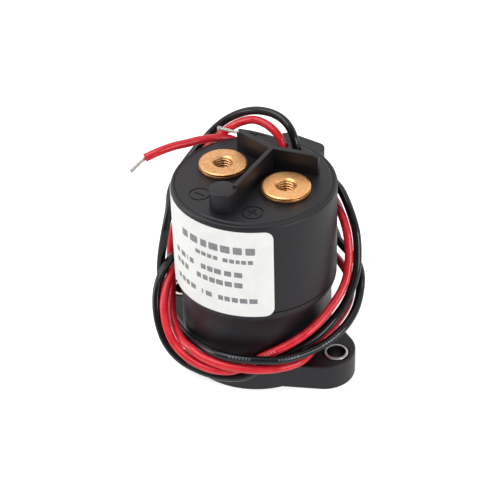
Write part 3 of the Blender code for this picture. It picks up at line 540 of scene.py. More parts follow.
def plain_plastic(name, dark, light, grain_mm, roughness):
    """A moulded or cast insulator in one tone, with faint mottling and a fine grain."""
    mottle_in_grains = 8
    mat, place = surface(name, roughness)
    mottle = noise(place, 1000 / grain_mm / mottle_in_grains, 4.0)
    grain = noise(place, 1000 / grain_mm, 2.0)
    return coated(mat, two_tones(mottle, dark, light), height=grain, depth=0.00001, strength=0.5)


def refinish(mat, *nodes):
    """Give CAD nodes whose shape is right a better material."""
    for node in nodes:
        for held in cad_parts[node].material_slots:
            held.material = mat


refinish(plated_iron("nickel_plated_iron", "#B9B7B2", "#8F8D8A", 3.0, 0.34),
         "yoke_cup", "top_yoke_plate", "magnet_yoke", "fixed_core", "plunger")
refinish(plated_iron("drawn_stainless_steel", "#C6C5C2", "#A6A5A2", 6.0, 0.24),
         "core_sleeve", "plunger_shaft", "shaft_clip", "sealing_ring")
refinish(plain_plastic("bobbin_nylon_66", "#C9C2AC", "#D8D1BC", 0.3, 0.42), "coil_bobbin", "spring_seat")
refinish(plain_plastic("polyester_winding_tape", "#D9A92B", "#E6BC45", 0.5, 0.35), "coil_wrap")
refinish(wound_wire(), "coil_winding")

# Contact chamber, sealed in the upper housing: an alumina cup brazed to its ring, silver
# tipped contacts, the copper bridge between them, and ferrite magnets beside the arc.
refinish(plain_plastic("alumina_ceramic", "#E4E0D6", "#F0EDE4", 0.4, 0.3),
         "ceramic_arc_chamber", "arc_shield")
refinish(plated_iron("silver_alloy", "#E3E0DA", "#C9C5BC", 1.2, 0.3),
         "fixed_contact_left", "fixed_contact_right")
refinish(plated_iron("rolled_copper_bar", "#D48A5C", "#B96E45", 2.5, 0.3), "moving_contact_bridge")
refinish(plain_plastic("ferrite_magnet", "#38373A", "#454447", 0.25, 0.55),
         "blowout_magnet_left", "blowout_magnet_right")

# Springs: round steel wire wound on a mandrel. The return spring is squeezed between the
# fixed core and the plunger, and the contact spring rides under the bridge.
SPRING_WIRE_R = 0.00025
SPRING_WIRE_SIDES = 12
SPRING_STEPS_A_TURN = 28


def new_tree(name):
    """A Geometry Nodes tree that makes one shape from a path, and that path."""
    tree = bpy.data.node_groups.new(name, "GeometryNodeTree")
    for socket, in_out in (("Path", "INPUT"), ("Made", "OUTPUT")):
        tree.interface.new_socket(socket, in_out=in_out, socket_type="NodeSocketGeometry")
    return tree, add_node(tree, "NodeGroupInput").outputs["Path"]


def drawn_wire(path, radius, sides, mat):
    """End a tree with a round wire along its path, real, smooth and in its material."""
    section = add_node(path.id_data, "GeometryNodeCurvePrimitiveCircle",
                       {"Resolution": sides, "Radius": radius}).outputs[0]
    wire = beside("GeometryNodeCurveToMesh", {"Fill Caps": True, "Curve": path, "Profile Curve": section})[0]
    wire = beside("GeometryNodeSetShadeSmooth", {"Geometry": wire})[0]
    wire = beside("GeometryNodeRealizeInstances", {"Geometry": wire})[0]
    wire = beside("GeometryNodeSetMaterial", {"Geometry": wire, "Material": mat})[0]
    beside("NodeGroupOutput", {0: wire})


def laid_by_nodes(name, tree, points=()):
    """What a tree makes of a path of points, kept as a plain mesh."""
    mesh = bpy.data.meshes.new(name + "_path")
    mesh.from_pydata(points, [(i, i + 1) for i in range(len(points) - 1)], [])
    guide = mesh_object(name + "_path", mesh)
    guide.modifiers.new("Maker", "NODES").node_group = tree
    graph = bpy.context.evaluated_depsgraph_get()
    made = mesh_object(name, bpy.data.meshes.new_from_object(guide.evaluated_get(graph)))
    bpy.data.objects.remove(guide, do_unlink=True)
    return made


def wound_spring(node, turns, mat):
    """A compression spring of round wire in the place of its CAD node."""
    low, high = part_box(node)
    reach = (high.x - low.x) / 2 - SPRING_WIRE_R
    tree = new_tree("Wound spring")[0]
    spiral = add_node(tree, "GeometryNodeCurveSpiral",
                      {"Resolution": SPRING_STEPS_A_TURN, "Rotations": turns, "Start Radius": reach,
                       "End Radius": reach, "Height": high.z - low.z - 2 * SPRING_WIRE_R})
    wire = beside("GeometryNodeTransform", {"Translation": (0.0, 0.0, low.z + SPRING_WIRE_R),
                                            "Geometry": spiral.outputs[0]})[0]
    drawn_wire(wire, SPRING_WIRE_R, SPRING_WIRE_SIDES, mat)
    return laid_by_nodes("wound_" + node, tree)


SPRING_WIRE = plated_iron("spring_steel_wire", "#BFBDB8", "#8E8C88", 0.6, 0.25)
for node, turns, body in (("contact_spring", 5.5, "contact_bridge"), ("return_spring", 4.5, "case")):
    spring = wound_spring(node, turns, SPRING_WIRE)
    fit(spring, SPRING_WIRE, node, body)
    if node == "return_spring":
        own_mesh(spring)

# Upper housing: a black moulded cup turned over the contact chamber. On its deck stand a
# Y shaped barrier that keeps the two live studs apart and a post that guides their lugs,
# and behind them the boss where the coil leads come out.
HOUSING_WALL = 0.0018
DECK_Z = 0.0576
DECK_THICK = 0.0024
DECK_EDGE_R = 0.0211
DECK_EASE = 0.00025
RIM_Z = 0.0573
RIM_SLOPE = 0.0003
RIM_DROP = 0.0005
RIM_EASE = (0.0002, 0.0004)
RIM_LINE_R = 0.0220
RIM_LINE_WIDE = 0.00018
RIM_LINE_DEEP = 0.00018
RIM_FLAT_R = 0.0225
COLLAR_R = 0.0075
COLLAR_HIGH = 0.00012
BOSS_FACE_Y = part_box("upper_housing")[1].y
BOSS_HALF_WIDE = 0.0075
BOSS_CORNER_R = 0.0028
BOSS_FILLET_R = 0.0020
BOSS_Z = (0.02895, 0.0572)
BOSS_EASE = (0.0003, 0.0004)
BARRIER_TOP_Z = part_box("upper_housing")[1].z
BARRIER_STEM_THICK = 0.0013
BARRIER_ARM_THICK = 0.0016
BARRIER_FORK = (0.0007, 0.0080)
BARRIER_STEM_END = (0.0031, -0.0134)
BARRIER_ARM_ENDS = ((0.0137, 0.0116), (-0.0125, 0.0105))
BARRIER_CHAMFER = (0.0015, 0.0008)
BARRIER_EASE = 0.00022
POST_AT = (0.0007, -0.0154)
POST_R = 0.0037
POST_TOP_Z = 0.0635
POST_EASE = 0.0005
DECK_FOOT_Z = DECK_Z - 0.0008
POCKET = ((-0.0057, 0.0180), (0.0057, 0.0180), (0.0057, 0.0243), (-0.0057, 0.0243))
POCKET_Z = (0.0310, DECK_Z - DECK_THICK - FINE_EASE)
LEAD_HOLE_R = 0.00128
LEAD_HOLE_FLARE = 0.0003
LEAD_HOLES = ((85.5, 0.0190), (98.5, 0.0188))
MARK_DEEP = 0.00025
MARK_RING_R = 0.0030
MARK_LINE = 0.0004
MARK_BAR_LONG = 0.0033
MINUS_AT = (-120.0, 0.0163)
PLUS_AT = (-56.4, 0.0162)
stud_low, stud_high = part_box("terminal_right")
STUD_R = (stud_high.x - stud_low.x) / 2
STUD_X = (stud_high.x + stud_low.x) / 2
STUD_Y = (stud_high.y + stud_low.y) / 2
STUD_NECK_R = 0.0040


def around(angle, radius, height):
    """A point given by its angle about the housing, radius and height."""
    turn = math.radians(angle)
    return Vector((radius * math.cos(turn), radius * math.sin(turn), height))


def boss_outline():
    """The lead boss seen from above, rounded outside and filleted into the housing."""
    centre_x = BOSS_HALF_WIDE + BOSS_FILLET_R
    touch_r = HOUSING_R - FINE_EASE
    centre_y = math.sqrt((touch_r + BOSS_FILLET_R) ** 2 - centre_x ** 2)
    lean = math.degrees(math.atan2(centre_y, centre_x))
    corner = (BOSS_HALF_WIDE - BOSS_CORNER_R, BOSS_FACE_Y - BOSS_CORNER_R)
    right_side = arc((centre_x, centre_y), BOSS_FILLET_R, lean + 180, 180, 8)
    right_side += arc(corner, BOSS_CORNER_R, 0, 90, 14)
    left_side = [(-x, y) for x, y in reversed(right_side)]
    spread = math.degrees(math.atan2(right_side[0][0], right_side[0][1]))
    inner = HOUSING_R - HOUSING_WALL / 2
    return right_side + left_side + arc((0.0, 0.0), inner, 90 + spread, 90 - spread, 12)


def upright_wall(name, start, end, thick, chamfer):
    """A barrier wall on the deck between two points, chamfered at its far top corner."""
    run = Vector(end) - Vector(start)
    high = BARRIER_TOP_Z - DECK_FOOT_Z
    outline = [(0.0, 0.0), (run.length, 0.0), (run.length, high - chamfer[1]),
               (run.length - chamfer[0], high), (0.0, high)]
    turn = Matrix.Rotation(math.atan2(run.y, run.x), 4, "Z") @ Matrix.Rotation(math.pi / 2, 4, "X")
    place = Matrix.Translation((*start, DECK_FOOT_Z)) @ turn
    return prism(name, list(dict.fromkeys(outline)), -thick / 2, thick / 2, (BARRIER_EASE,) * 2, place)


def mark_cutters(name, spot, turns):
    """The grooves of one ringed sign on the deck: a ring, and a bar at each of its turns."""
    centre = around(*spot, 0.0).xy
    low, high = DECK_Z - MARK_DEEP, DECK_Z + CUT_PAST
    inner, outer = MARK_RING_R - MARK_LINE, MARK_RING_R
    cutters = [turned(name + "_ring", [(inner, low), (outer, low), (outer, high), (inner, high)],
                      64, closed=True, at=centre)]
    x, y = MARK_BAR_LONG / 2, MARK_LINE / 2
    for turn in turns:
        place = Matrix.Translation((*centre, 0.0)) @ Matrix.Rotation(turn, 4, "Z")
        cutters.append(prism(name + "_bar", [(-x, -y), (x, -y), (x, y), (-x, y)], low, high, place=place))
    return cutters


rim = [(RIM_LINE_R - RIM_LINE_WIDE, RIM_Z, 0), (RIM_LINE_R - RIM_LINE_WIDE / 2, RIM_Z - RIM_LINE_DEEP, 0),
       (RIM_LINE_R, RIM_Z, 0)]
housing = turned("moulded_housing", eased([
    (0.0, DECK_Z, 0), (DECK_EDGE_R, DECK_Z, DECK_EASE), (DECK_EDGE_R + RIM_SLOPE, RIM_Z, FINE_EASE),
    *rim, (RIM_FLAT_R, RIM_Z, RIM_EASE[0]), (HOUSING_R, RIM_Z - RIM_DROP, RIM_EASE[1]),
    (HOUSING_R, PARTING_Z, FINE_EASE), (0.0, PARTING_Z, 0)]))
boss = prism("boss", boss_outline(), *BOSS_Z, BOSS_EASE)
post = turned("post", eased([
    (0.0, POST_TOP_Z, 0), (POST_R, POST_TOP_Z, POST_EASE), (POST_R, DECK_FOOT_Z, 0), (0.0, DECK_FOOT_Z, 0)]),
    96, at=POST_AT)
walls = [upright_wall("stem", BARRIER_FORK, BARRIER_STEM_END, BARRIER_STEM_THICK, (0.0, 0.0))]
walls += [upright_wall("arm", BARRIER_FORK, tip, BARRIER_ARM_THICK, BARRIER_CHAMFER)
          for tip in BARRIER_ARM_ENDS]
hole_low = DECK_Z - DECK_THICK - CUT_PAST
cutters = [rod("hollow", HOUSING_R - HOUSING_WALL, PARTING_Z - CUT_PAST, DECK_Z - DECK_THICK, 96),
           prism("pocket", POCKET, *POCKET_Z)]
collars = []
for side in (-1, 1):
    spot = (side * STUD_X, STUD_Y)
    collars.append(turned("collar", eased([
        (0.0, DECK_Z + COLLAR_HIGH, 0), (COLLAR_R, DECK_Z + COLLAR_HIGH, FINE_EASE),
        (COLLAR_R, DECK_FOOT_Z, 0), (0.0, DECK_FOOT_Z, 0)]), 96, at=spot))
    cutters.append(rod("stud_hole", STUD_NECK_R + FIT_GAP, hole_low, DECK_Z + CUT_PAST, 64, at=spot))
for angle, radius in LEAD_HOLES:
    cutters.append(turned("lead_hole", [
        (0.0, hole_low), (LEAD_HOLE_R, hole_low), (LEAD_HOLE_R, DECK_Z - FINE_EASE),
        (LEAD_HOLE_R + LEAD_HOLE_FLARE, DECK_Z + LEAD_HOLE_FLARE), (0.0, DECK_Z + LEAD_HOLE_FLARE)],
        48, at=around(angle, radius, 0.0).xy))
cutters += mark_cutters("minus", MINUS_AT, (0.0,)) + mark_cutters("plus", PLUS_AT, (0.0, math.pi / 2))
worked(housing, [boss, post, *walls, *collars], cutters)
fit(housing, POLYESTER, "upper_housing")

# Bolt terminals: turned from copper bar, each with a flange in two steps, a groove between
# them and a blind M5 bore. They are left bare, so they show turning rings and tarnish.
STUD_TOP_Z = stud_high.z
STUD_FLANGE_LOW_Z = 0.0579
STUD_FACE_R = 0.0063
STUD_GROOVE_R = 0.0065
STUD_GROOVE_Z = (0.05868, 0.05886)
THREAD_CREST_R = 0.0021
THREAD_ROOT_R = 0.0025
THREAD_PITCH = 0.0008
THREAD_ROWS = 12
THREAD_TURNS = 8
THREAD_LEAD_IN = (0.0030, 0.0001)
THREAD_CREST_SHARE = 0.12
BORE_DEEP = 0.0085
DRILL_POINT = 0.0012
STUD_STEPS = 120
STUD_EASES = (0, 0.0002, 0.0001, 0.00015, 0.0001, 0.00003, 0.00003, 0.00006, 0.0001, 0.00015, 0.00004, 0)
STUD_RIM_STEP = 0.00003
STUD_RIM_DROP = 0.00025


def threaded_stud(name, spot):
    """A turned terminal whose bore is a real helix, one row of the mesh after another."""
    lead_in_r, lead_in_deep = THREAD_LEAD_IN
    thread_top = STUD_TOP_Z - lead_in_deep
    bottom = STUD_TOP_Z - BORE_DEEP
    rim_r = STUD_R - STUD_RIM_STEP
    groove_low, groove_high = STUD_GROOVE_Z
    corners = ((0.0, stud_low.z), (STUD_NECK_R, stud_low.z), (STUD_NECK_R, STUD_FLANGE_LOW_Z),
               (STUD_R, STUD_FLANGE_LOW_Z), (STUD_R, groove_low), (STUD_GROOVE_R, groove_low),
               (STUD_GROOVE_R, groove_high), (rim_r, groove_high), (rim_r, STUD_TOP_Z - STUD_RIM_DROP),
               (STUD_FACE_R, STUD_TOP_Z), (lead_in_r + lead_in_deep, STUD_TOP_Z), (lead_in_r, thread_top))
    profile = eased([(*corner, ease) for corner, ease in zip(corners, STUD_EASES)])
    profile += [(THREAD_CREST_R, thread_top - THREAD_PITCH * k / THREAD_ROWS)
                for k in range(1, THREAD_ROWS * THREAD_TURNS + 1)]
    profile += [(THREAD_CREST_R, bottom + DRILL_POINT), (0.0, bottom)]

    def helix(r, z, share):
        """The bore's radius at a height and share of the turn, cut to a thread above."""
        deep = STUD_TOP_Z - z
        if r != THREAD_CREST_R or deep > BORE_DEEP - DRILL_POINT - SAME_PLACE:
            return r
        phase = (deep / THREAD_PITCH + share) % 1.0
        flank = (abs(2 * phase - 1) - THREAD_CREST_SHARE) / (1 - 2 * THREAD_CREST_SHARE)
        cut = THREAD_CREST_R + (THREAD_ROOT_R - THREAD_CREST_R) * min(max(flank, 0.0), 1.0)
        return max(cut, lead_in_r - deep)

    return turned(name, profile, STUD_STEPS, at=spot, shaped=helix)


def turned_copper(name, centre, dark, light, tarnish):
    """Bare C1100 copper off the lathe: warm orange, fine rings about the bore, and small
    brown spots of tarnish. The rings are drawn at twice the real feed so that they show.
    The bore has painted shade, darkest in the thread roots."""
    ring_mm = 0.28
    spot_mm = 0.32
    wander = 4.0
    hair = 0.00002
    spots_at = 0.66 - tarnish
    mat, place = surface(name, 0.3, 1.0)
    reach, turns = lathe_map(place, centre, ring_mm)
    shaken = maths("MULTIPLY_ADD", noise(place, 1500.0, 2.0), wander, turns)
    rings = maths("SINE", shaken)
    cloud = noise(place, 1300.0, 6.0, 0.6)
    spots = noise(place, 1000 / spot_mm, 4.0, 0.7)
    base = two_tones(cloud, dark, light, 0.35, 0.62)
    tone = between(ramp(spots, spots_at, spots_at + 0.05), base, "#6A4022")
    # Painted shade: the bore turns dark brown from the thread crests to the roots, and the faces outside it
    # are left out.
    face = maths("GREATER_THAN", reach, THREAD_ROOT_R + hair)
    deep = ramp(reach, THREAD_CREST_R + 2.5 * hair, THREAD_ROOT_R)
    painted_root_shade = maths("MAXIMUM", maths("SUBTRACT", deep, face), 0.0)
    height = maths("MULTIPLY_ADD", rings, 0.25, cloud)
    return coated(mat, between(painted_root_shade, tone, "#5C3519"), ramp(spots, 0.3, 0.8, 0.26, 0.48),
                  maths("MULTIPLY", height, face), 0.00003, 0.6)


for side, label, dark, light, tarnish in ((-1, "left", "#E2A067", "#F5C08A", 0.09),
                                          (1, "right", "#F4AC6A", "#FFC98C", 0.03)):
    spot = (side * STUD_X, STUD_Y)
    stud = worked(threaded_stud("copper_stud_" + label, spot), sharp=40)
    fit(stud, turned_copper("turned_copper_" + label, spot, dark, light, tarnish),
        "terminal_" + label)

# Label: a white polypropylene film stuck round the front and left of the housing, with
# rounded corners and five rows of plain grey bars printed on it.
LABEL_R = HOUSING_R + FINE_EASE
LABEL_THICK = 0.00012
LABEL_DEG = (-180.0, -42.5)
LABEL_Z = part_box("label")[0].z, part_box("label")[1].z
LABEL_CORNER = 0.0026
LABEL_STEP = 0.0004
CORNER_STEPS = 6
INK_RISE = 0.00001
INK_CORNER = (0.12, 0.3)
# Rows of the print: middle height, height of the bars, and each bar's two angles.
INK_ROWS = (
    (0.0497, 0.0023, ((-112.4, -106.2), (-103.8, -96.8), (-94.1, -88.9), (-87.3, -80.3), (-78.6, -71.8),
                      (-69.6, -63.5), (-61.1, -54.8))),
    (0.0461, 0.0013, ((-99.0, -94.8), (-93.8, -89.9), (-88.9, -85.3), (-84.2, -80.7), (-77.1, -73.4),
                      (-72.3, -69.0), (-67.9, -65.1), (-64.2, -60.9), (-59.8, -56.3))),
    (0.0417, 0.0017, ((-122.6, -118.2), (-115.8, -110.4), (-108.5, -107.6), (-105.4, -101.4),
                      (-94.6, -90.4), (-89.2, -84.9), (-83.9, -78.5), (-76.3, -71.3), (-69.3, -63.7))),
    (0.0382, 0.0017, ((-122.2, -118.4), (-117.0, -113.0), (-111.6, -107.4), (-98.9, -94.9),
                      (-93.4, -89.2), (-88.0, -83.5), (-82.6, -77.4), (-76.2, -71.0), (-69.4, -63.7))),
    (0.0330, 0.0016, ((-121.4, -117.6), (-116.0, -112.0), (-110.8, -107.0), (-105.4, -100.6),
                      (-94.9, -93.7), (-91.4, -86.4), (-81.5, -77.7), (-76.8, -72.9), (-71.5, -67.3),
                      (-66.0, -60.8), (-59.5, -53.9))),
)


def sheet_patch(bm, start, end, low, high, corner, radius, index):
    """A patch of film bent round the housing between two angles, with rounded corners."""
    degree = math.radians(1) * radius
    wide = (end - start) * degree
    stations = [corner * (1 - math.cos(math.pi / 2 * k / CORNER_STEPS)) for k in range(CORNER_STEPS + 1)]
    middle = max(round((wide - 2 * corner) / LABEL_STEP), 1)
    stations += [corner + (wide - 2 * corner) * k / middle for k in range(1, middle)]
    stations += [wide - s for s in stations[CORNER_STEPS::-1]]
    last = None
    for s in stations:
        edge = min(s, wide - s)
        inset = 0.0
        if edge < corner:
            inset = corner - math.sqrt(max(corner ** 2 - (corner - edge) ** 2, 0.0))
        angle = start + s / degree
        column = [bm.verts.new(around(angle, radius, z)) for z in (low + inset, high - inset)]
        if last:
            face = bm.faces.new((last[0], column[0], column[1], last[1]))
            face.material_index = index
            face.smooth = True
        last = column


def printed_film():
    """Matt polypropylene film: near white, with a faint cast and a slight orange peel."""
    mat, place = surface("white_polypropylene_film", 0.42)
    cloud = noise(place, 250.0, 3.0)
    peel = noise(place, 1600.0, 2.0)
    return coated(mat, two_tones(cloud, "#EFF0ED", "#F5F6F3"), height=peel, depth=0.000006,
                  strength=0.4)


def thermal_ink():
    """Resin ribbon print on the film: dark grey, with small gaps where it took badly."""
    mat, place = surface("resin_ribbon_ink", 0.5)
    return coated(mat, two_tones(noise(place, 3500.0, 4.0), "#7C7B7E", "#9C9B9E", 0.45, 0.62))


bm = bmesh.new()
sheet_patch(bm, *LABEL_DEG, *LABEL_Z, LABEL_CORNER, LABEL_R, 0)
mesh = bpy.data.meshes.new("printed_label")
bm.to_mesh(mesh)
bm.free()
film = mesh_object("printed_label", mesh)
thick = film.modifiers.new("Film", "SOLIDIFY")
thick.thickness = LABEL_THICK
thick.offset = 1.0
worked(film)
bm = bmesh.new()
bm.from_mesh(film.data)
for height, tall, bars in INK_ROWS:
    for start, end in bars:
        corner = min(tall * INK_CORNER[0], math.radians(end - start) * LABEL_R * INK_CORNER[1])
        sheet_patch(bm, start, end, height - tall / 2, height + tall / 2, corner,
                    LABEL_R + LABEL_THICK + INK_RISE, 1)
bm.to_mesh(film.data)
bm.free()
film.modifiers.clear()
printed = [face.material_index for face in film.data.polygons]
fit(film, printed_film(), "label")
film.data.materials.append(thermal_ink())
film.data.polygons.foreach_set("material_index", printed)

# Coil leads: two stranded copper wires in silicone rubber, red for plus and black for
# minus, potted in the boss and left long. Each is wound twice round the case for packing,
# crosses itself at the front and the back, and ends bared.
LEAD_D = 0.0024
LEAD_STEP = 0.0008
LEAD_SIDES = 24
STEPS_A_STOP = 12
PRINT_TILT = 0.8
END_EASE = (0.0002, 0.00015)
STRANDS = 15
STRAND_R = 0.00011
BUNDLE_R = 0.00046
STRAND_SPLAY = 0.22
STRAND_FRAY = 0.00016
STRAND_TWIST = 2.6
STRAND_STEPS = 24
STRAND_SIDES = 8
STRAND_SUNK = 0.0003
GOLDEN_ANGLE = 2.39996
# Stops of each lead: angle about the housing in degrees, radius and height in tenths of a
# millimetre. The tails are the stops of the bared strands.
TENTHS = 10000
BLACK_ROUTE = [
    (85.5, 190, 516), (85.6, 190, 562), (87.8, 192, 598), (94, 202, 627), (102.5, 215, 644),
    (112, 229, 650), (123, 249, 644), (132, 272, 625), (140, 291, 598), (146, 300, 572), (152, 302, 545),
    (160, 296, 520), (171, 288, 489), (183, 282, 446), (192.1, 268, 405), (198.3, 268, 365),
    (201.5, 277, 303), (203.5, 282, 256), (205, 283, 214), (206.6, 281, 180), (209, 274, 152),
    (214, 264, 129), (218.5, 251, 111), (225.5, 239, 103), (234.8, 232, 106), (246.5, 231, 117),
    (256.9, 232, 124), (268, 242, 135), (278, 253, 143), (290, 259, 147), (305, 260, 145), (320, 262, 139),
    (335, 263, 140), (349, 275, 151), (362, 290, 173), (374, 297, 194), (384.5, 299, 219),
    (390.8, 299, 251), (396.5, 293, 268), (402.3, 281, 279), (408.6, 267, 285), (417, 258, 294),
    (425, 267, 298), (434, 281, 302), (450, 284, 304), (466, 281, 302), (478, 263, 299), (494, 252, 294),
    (513, 249, 285), (530, 246, 274), (545, 245, 266), (555, 247, 268), (563, 253, 270), (570, 260, 267),
    (576, 274, 252), (582, 288, 220), (588, 295, 180), (594, 296, 143), (600, 292, 109), (606, 282, 83),
    (612, 266, 60), (620, 254, 52), (630, 246, 50), (642, 238, 50), (656, 236, 64), (667, 232, 92),
    (680, 231, 120), (695, 232, 137), (711, 243, 160), (724.1, 255, 187), (731.1, 272, 222),
    (736.6, 285, 268), (741.1, 291, 312), (746.4, 289, 356), (751.3, 283, 401), (757.7, 272, 435),
    (765.3, 261, 465), (773.3, 255, 482), (783, 256, 483), (792, 273, 486), (800, 282, 490),
    (810, 281, 497), (820, 282, 508), (829, 278, 522), (838, 265, 542), (847, 252, 562), (855, 244, 576),
]
RED_ROUTE = [
    (98.5, 188, 516), (98.6, 188, 558), (99.8, 189, 580), (103.3, 192, 600), (108.8, 200, 614),
    (116, 213, 623), (124, 229, 625), (132, 249, 610), (139, 267, 585), (145, 274, 562), (152, 272, 540),
    (161, 268, 502), (170, 266, 458), (178, 266, 404), (184, 268, 346), (188.5, 274, 295),
    (193.6, 269, 239), (199, 259, 206), (206, 250, 189), (213.5, 247, 175), (220.5, 248, 161),
    (227.5, 250, 146), (235, 251, 134), (243, 254, 128), (251.2, 259, 126), (259.4, 261, 128),
    (266, 263, 122), (278, 264, 119), (291, 263, 116), (305, 262, 112), (320, 259, 108), (333, 255, 108),
    (345, 240, 112), (356, 235, 122), (368, 252, 156), (380, 269, 192), (393, 270, 222), (406, 256, 234),
    (424, 250, 234), (444, 250, 232), (466, 248, 230), (488, 246, 228), (510, 242, 228), (528, 238, 231),
    (545, 237, 237), (555, 238, 242), (564, 239, 246), (571, 245, 246), (577, 253, 238), (583, 263, 223),
    (589, 274, 198), (595, 280, 170), (601, 282, 143), (608, 280, 118), (616.5, 273, 99), (625, 265, 88),
    (637, 258, 85), (649, 244, 88), (659, 233, 108), (671, 232, 138), (684, 239, 165), (698, 243, 188),
    (711, 246, 210), (722, 255, 243), (729.7, 264, 271), (735.5, 268, 296), (740.9, 268, 334),
    (745.7, 264, 373), (750.6, 256, 410), (757.6, 247, 430), (764.9, 243, 436), (773, 247, 432),
    (782, 252, 432), (791, 270, 435), (800, 281, 440), (810, 280, 450), (820, 281, 462), (829, 275, 476),
    (838, 259, 496), (846, 248, 518), (854, 246, 540), (863, 246, 562), (873, 247, 573), (883, 250, 581),
    (893, 260, 585), (900, 274, 588), (908, 300, 584), (913.5, 330, 573),
]
BLACK_TAIL = [(858.5, 243, 583), (862, 243, 589), (866, 244, 597), (869.5, 246, 603)]
RED_TAIL = [(916, 334, 571), (919, 339, 569), (924, 350, 565)]


def stops(route):
    """The points that a lead's stops name."""
    return [around(angle, radius / TENTHS, height / TENTHS) for angle, radius, height in route]


def distances(points):
    """How far each point is from the first, along them all."""
    travel = [0.0]
    for p, q in zip(points, points[1:]):
        travel.append(travel[-1] + (q - p).length)
    return travel


def smooth_lead(route):
    """Points at even steps along a smooth curve through a lead's stops."""
    knots = stops(route)
    ends = [2 * knots[0] - knots[1]] + knots + [2 * knots[-1] - knots[-2]]
    fine = []
    for i in range(1, len(ends) - 2):
        a, b, c, d = ends[i - 1:i + 3]
        t1 = math.sqrt((b - a).length)
        t2 = t1 + math.sqrt((c - b).length)
        t3 = t2 + math.sqrt((d - c).length)
        for k in range(STEPS_A_STOP):
            t = t1 + (t2 - t1) * k / STEPS_A_STOP
            ab = a.lerp(b, t / t1)
            bc = b.lerp(c, (t - t1) / (t2 - t1))
            cd = c.lerp(d, (t - t2) / (t3 - t2))
            abc = ab.lerp(bc, t / t2)
            bcd = bc.lerp(cd, (t - t1) / (t3 - t1))
            fine.append(abc.lerp(bcd, (t - t1) / (t2 - t1)))
    fine.append(knots[-1])
    travel = distances(fine)
    count = round(travel[-1] / LEAD_STEP)
    points = []
    j = 0
    for i in range(count + 1):
        goal = travel[-1] * i / count
        while j < len(travel) - 2 and travel[j + 1] < goal:
            j += 1
        share = (goal - travel[j]) / (travel[j + 1] - travel[j])
        points.append(fine[j].lerp(fine[j + 1], share))
    return points


def lead_tube(name, points, print_at):
    """A round lead along its points. Its map runs along the lead in metres and once round
    it, with the middle of the map facing outwards at the printed stretch."""
    runs = [(after - before).normalized() for before, after in
            zip(points[:1] + points[:-1], points[1:] + points[-1:])]
    sides = [runs[0].orthogonal().normalized()]
    for run in runs[1:]:
        sides.append((sides[-1] - run * sides[-1].dot(run)).normalized())
    travel = distances(points)
    shown = min(range(len(points)), key=lambda i: abs(travel[i] - print_at))
    outward = Vector((*points[shown].xy, 0.0)).normalized() + Vector((0.0, 0.0, PRINT_TILT))
    across = runs[shown].cross(sides[shown])
    facing = math.atan2(outward.dot(across), outward.dot(sides[shown]))
    bm = bmesh.new()
    marks = bm.loops.layers.uv.new("LeadMap")
    stages = [(0, LEAD_D / 2 - END_EASE[0])] + [(i, LEAD_D / 2) for i in range(len(points))]
    stages.append((len(points) - 1, LEAD_D / 2 - END_EASE[1]))
    rings = []
    for i, reach in stages:
        over = runs[i].cross(sides[i])
        ring = []
        for k in range(LEAD_SIDES):
            turn = math.tau * (k / LEAD_SIDES - 0.5) + facing
            ring.append(bm.verts.new(points[i] + (sides[i] * math.cos(turn) + over * math.sin(turn)) * reach))
        rings.append((ring, travel[i]))
    for (lower, low), (upper, high) in zip(rings, rings[1:]):
        for k in range(LEAD_SIDES):
            j = (k + 1) % LEAD_SIDES
            face = bm.faces.new((lower[k], lower[j], upper[j], upper[k]))
            face.smooth = True
            for loop, u, v in zip(face.loops, (low, low, high, high), (k, k + 1, k + 1, k)):
                loop[marks].uv = (u, v / LEAD_SIDES)
    bm.faces.new(rings[0][0][::-1])
    bm.faces.new(rings[-1][0])
    return cleaned(name, bm), travel[-1]


def silicone(name, dark, light, print_tone, printed):
    """Extruded silicone rubber: smooth and softly shiny, a little uneven, with a faint row
    of plain dashes along one stretch, given by its middle and half its length."""
    dash, group, print_share = 0.0009, 0.0135, 0.4
    mat, place = surface(name, 0.18, IOR=1.45)
    cloud = noise(place, 350.0, 3.0)
    skin = noise(place, 1400.0, 3.0)
    lead_map = add_node(mat.node_tree, "ShaderNodeUVMap", {"uv_map": "LeadMap"}).outputs[0]
    apart = beside("ShaderNodeSeparateXYZ", {0: lead_map})
    mask = print_share
    for source, operation, value, limit in (
            ("X", "PINGPONG", dash / 2, dash * 0.3), ("X", "PINGPONG", group / 2, group * 0.24),
            ("X", "SUBTRACT", *printed), ("Y", "SUBTRACT", 0.5, 0.042)):
        size = maths("ABSOLUTE", maths(operation, apart[source], value))
        mask = maths("MULTIPLY", mask, maths("LESS_THAN", size, limit))
    base = two_tones(cloud, dark, light)
    return coated(mat, between(mask, base, print_tone), ramp(cloud, 0.3, 0.7, 0.14, 0.24),
                  skin, 0.00001, 0.4)


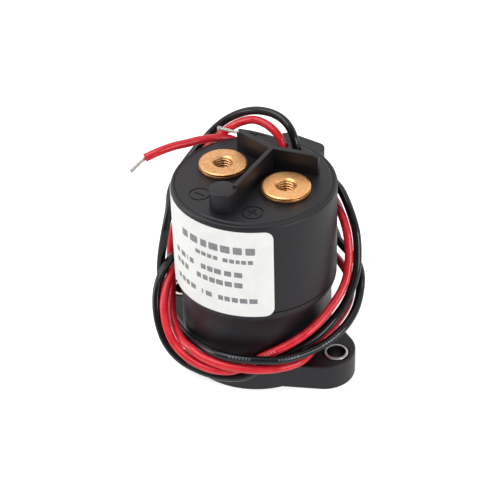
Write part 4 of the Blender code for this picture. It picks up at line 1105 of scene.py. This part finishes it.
def bared_strands(name, points, mat, seed):
    """The strands at a lead's cut end: copper wires laid round a path by Geometry Nodes,
    twisted together and splayed towards the end."""
    tree, path = new_tree("Bared strands")
    line = beside("GeometryNodeMeshToCurve", {"Mesh": path})[0]
    line = beside("GeometryNodeResampleCurve", {"Count": STRAND_STEPS, "Curve": line})[0]
    many = beside("GeometryNodeDuplicateElements", {"domain": "SPLINE", "Geometry": line, "Amount": STRANDS})
    index = many["Duplicate Index"]
    along = add_node(tree, "GeometryNodeSplineParameter").outputs["Factor"]
    share = maths("DIVIDE", maths("ADD", index, 0.5), STRANDS)
    late = maths("POWER", along, 2.0)
    spread = maths("MULTIPLY", maths("SQRT", share), BUNDLE_R)
    reach = maths("MULTIPLY", spread, maths("MULTIPLY_ADD", late, STRAND_SPLAY, 1.0))
    turn = maths("MULTIPLY_ADD", index, GOLDEN_ANGLE, maths("MULTIPLY", along, STRAND_TWIST))
    normal = add_node(tree, "GeometryNodeInputNormal").outputs[0]
    tangent = add_node(tree, "GeometryNodeInputTangent").outputs[0]
    side = vector_maths("CROSS_PRODUCT", {0: tangent, 1: normal})
    chance = beside("FunctionNodeRandomValue",
                    {"data_type": "FLOAT_VECTOR", 0: (-1.0, -1.0, -1.0), "ID": index, "Seed": seed})[0]
    moved = None
    for way, far in ((normal, maths("MULTIPLY", reach, maths("COSINE", turn))),
                     (side, maths("MULTIPLY", reach, maths("SINE", turn))),
                     (chance, maths("MULTIPLY", late, STRAND_FRAY))):
        step = vector_maths("SCALE", {0: way, "Scale": far})
        moved = vector_maths("ADD", {0: moved, 1: step}) if moved else step
    wires = beside("GeometryNodeSetPosition", {"Geometry": many[0], "Offset": moved})[0]
    drawn_wire(wires, STRAND_R, STRAND_SIDES, mat)
    return laid_by_nodes(name, tree, points)


TINNED = plated_iron("tinned_copper_strand", "#F4F1EC", "#D2CCC4", 0.5, 0.3)
for label, route, tail, tones, print_at, printed, seed in (
        ("black", BLACK_ROUTE, BLACK_TAIL, ("#0B0C0E", "#121316", "#79838F"), 0.149, 0.020, 3),
        ("red", RED_ROUTE, RED_TAIL, ("#D01C2C", "#DE2C38", "#EDB4AC"), 0.2975, 0.004, 8)):
    points = smooth_lead(route)
    lead, length = lead_tube(label + "_silicone_lead", points, print_at)
    fit(lead, silicone(label + "_silicone_rubber", *tones, (print_at, printed)),
        label + "_lead")
    start = points[-1] - (points[-1] - points[-2]).normalized() * STRAND_SUNK
    wires = bared_strands(label + "_bared_strands", [start] + stops(tail), TINNED, seed)
    fit(wires, TINNED, label + "_lead_strands")
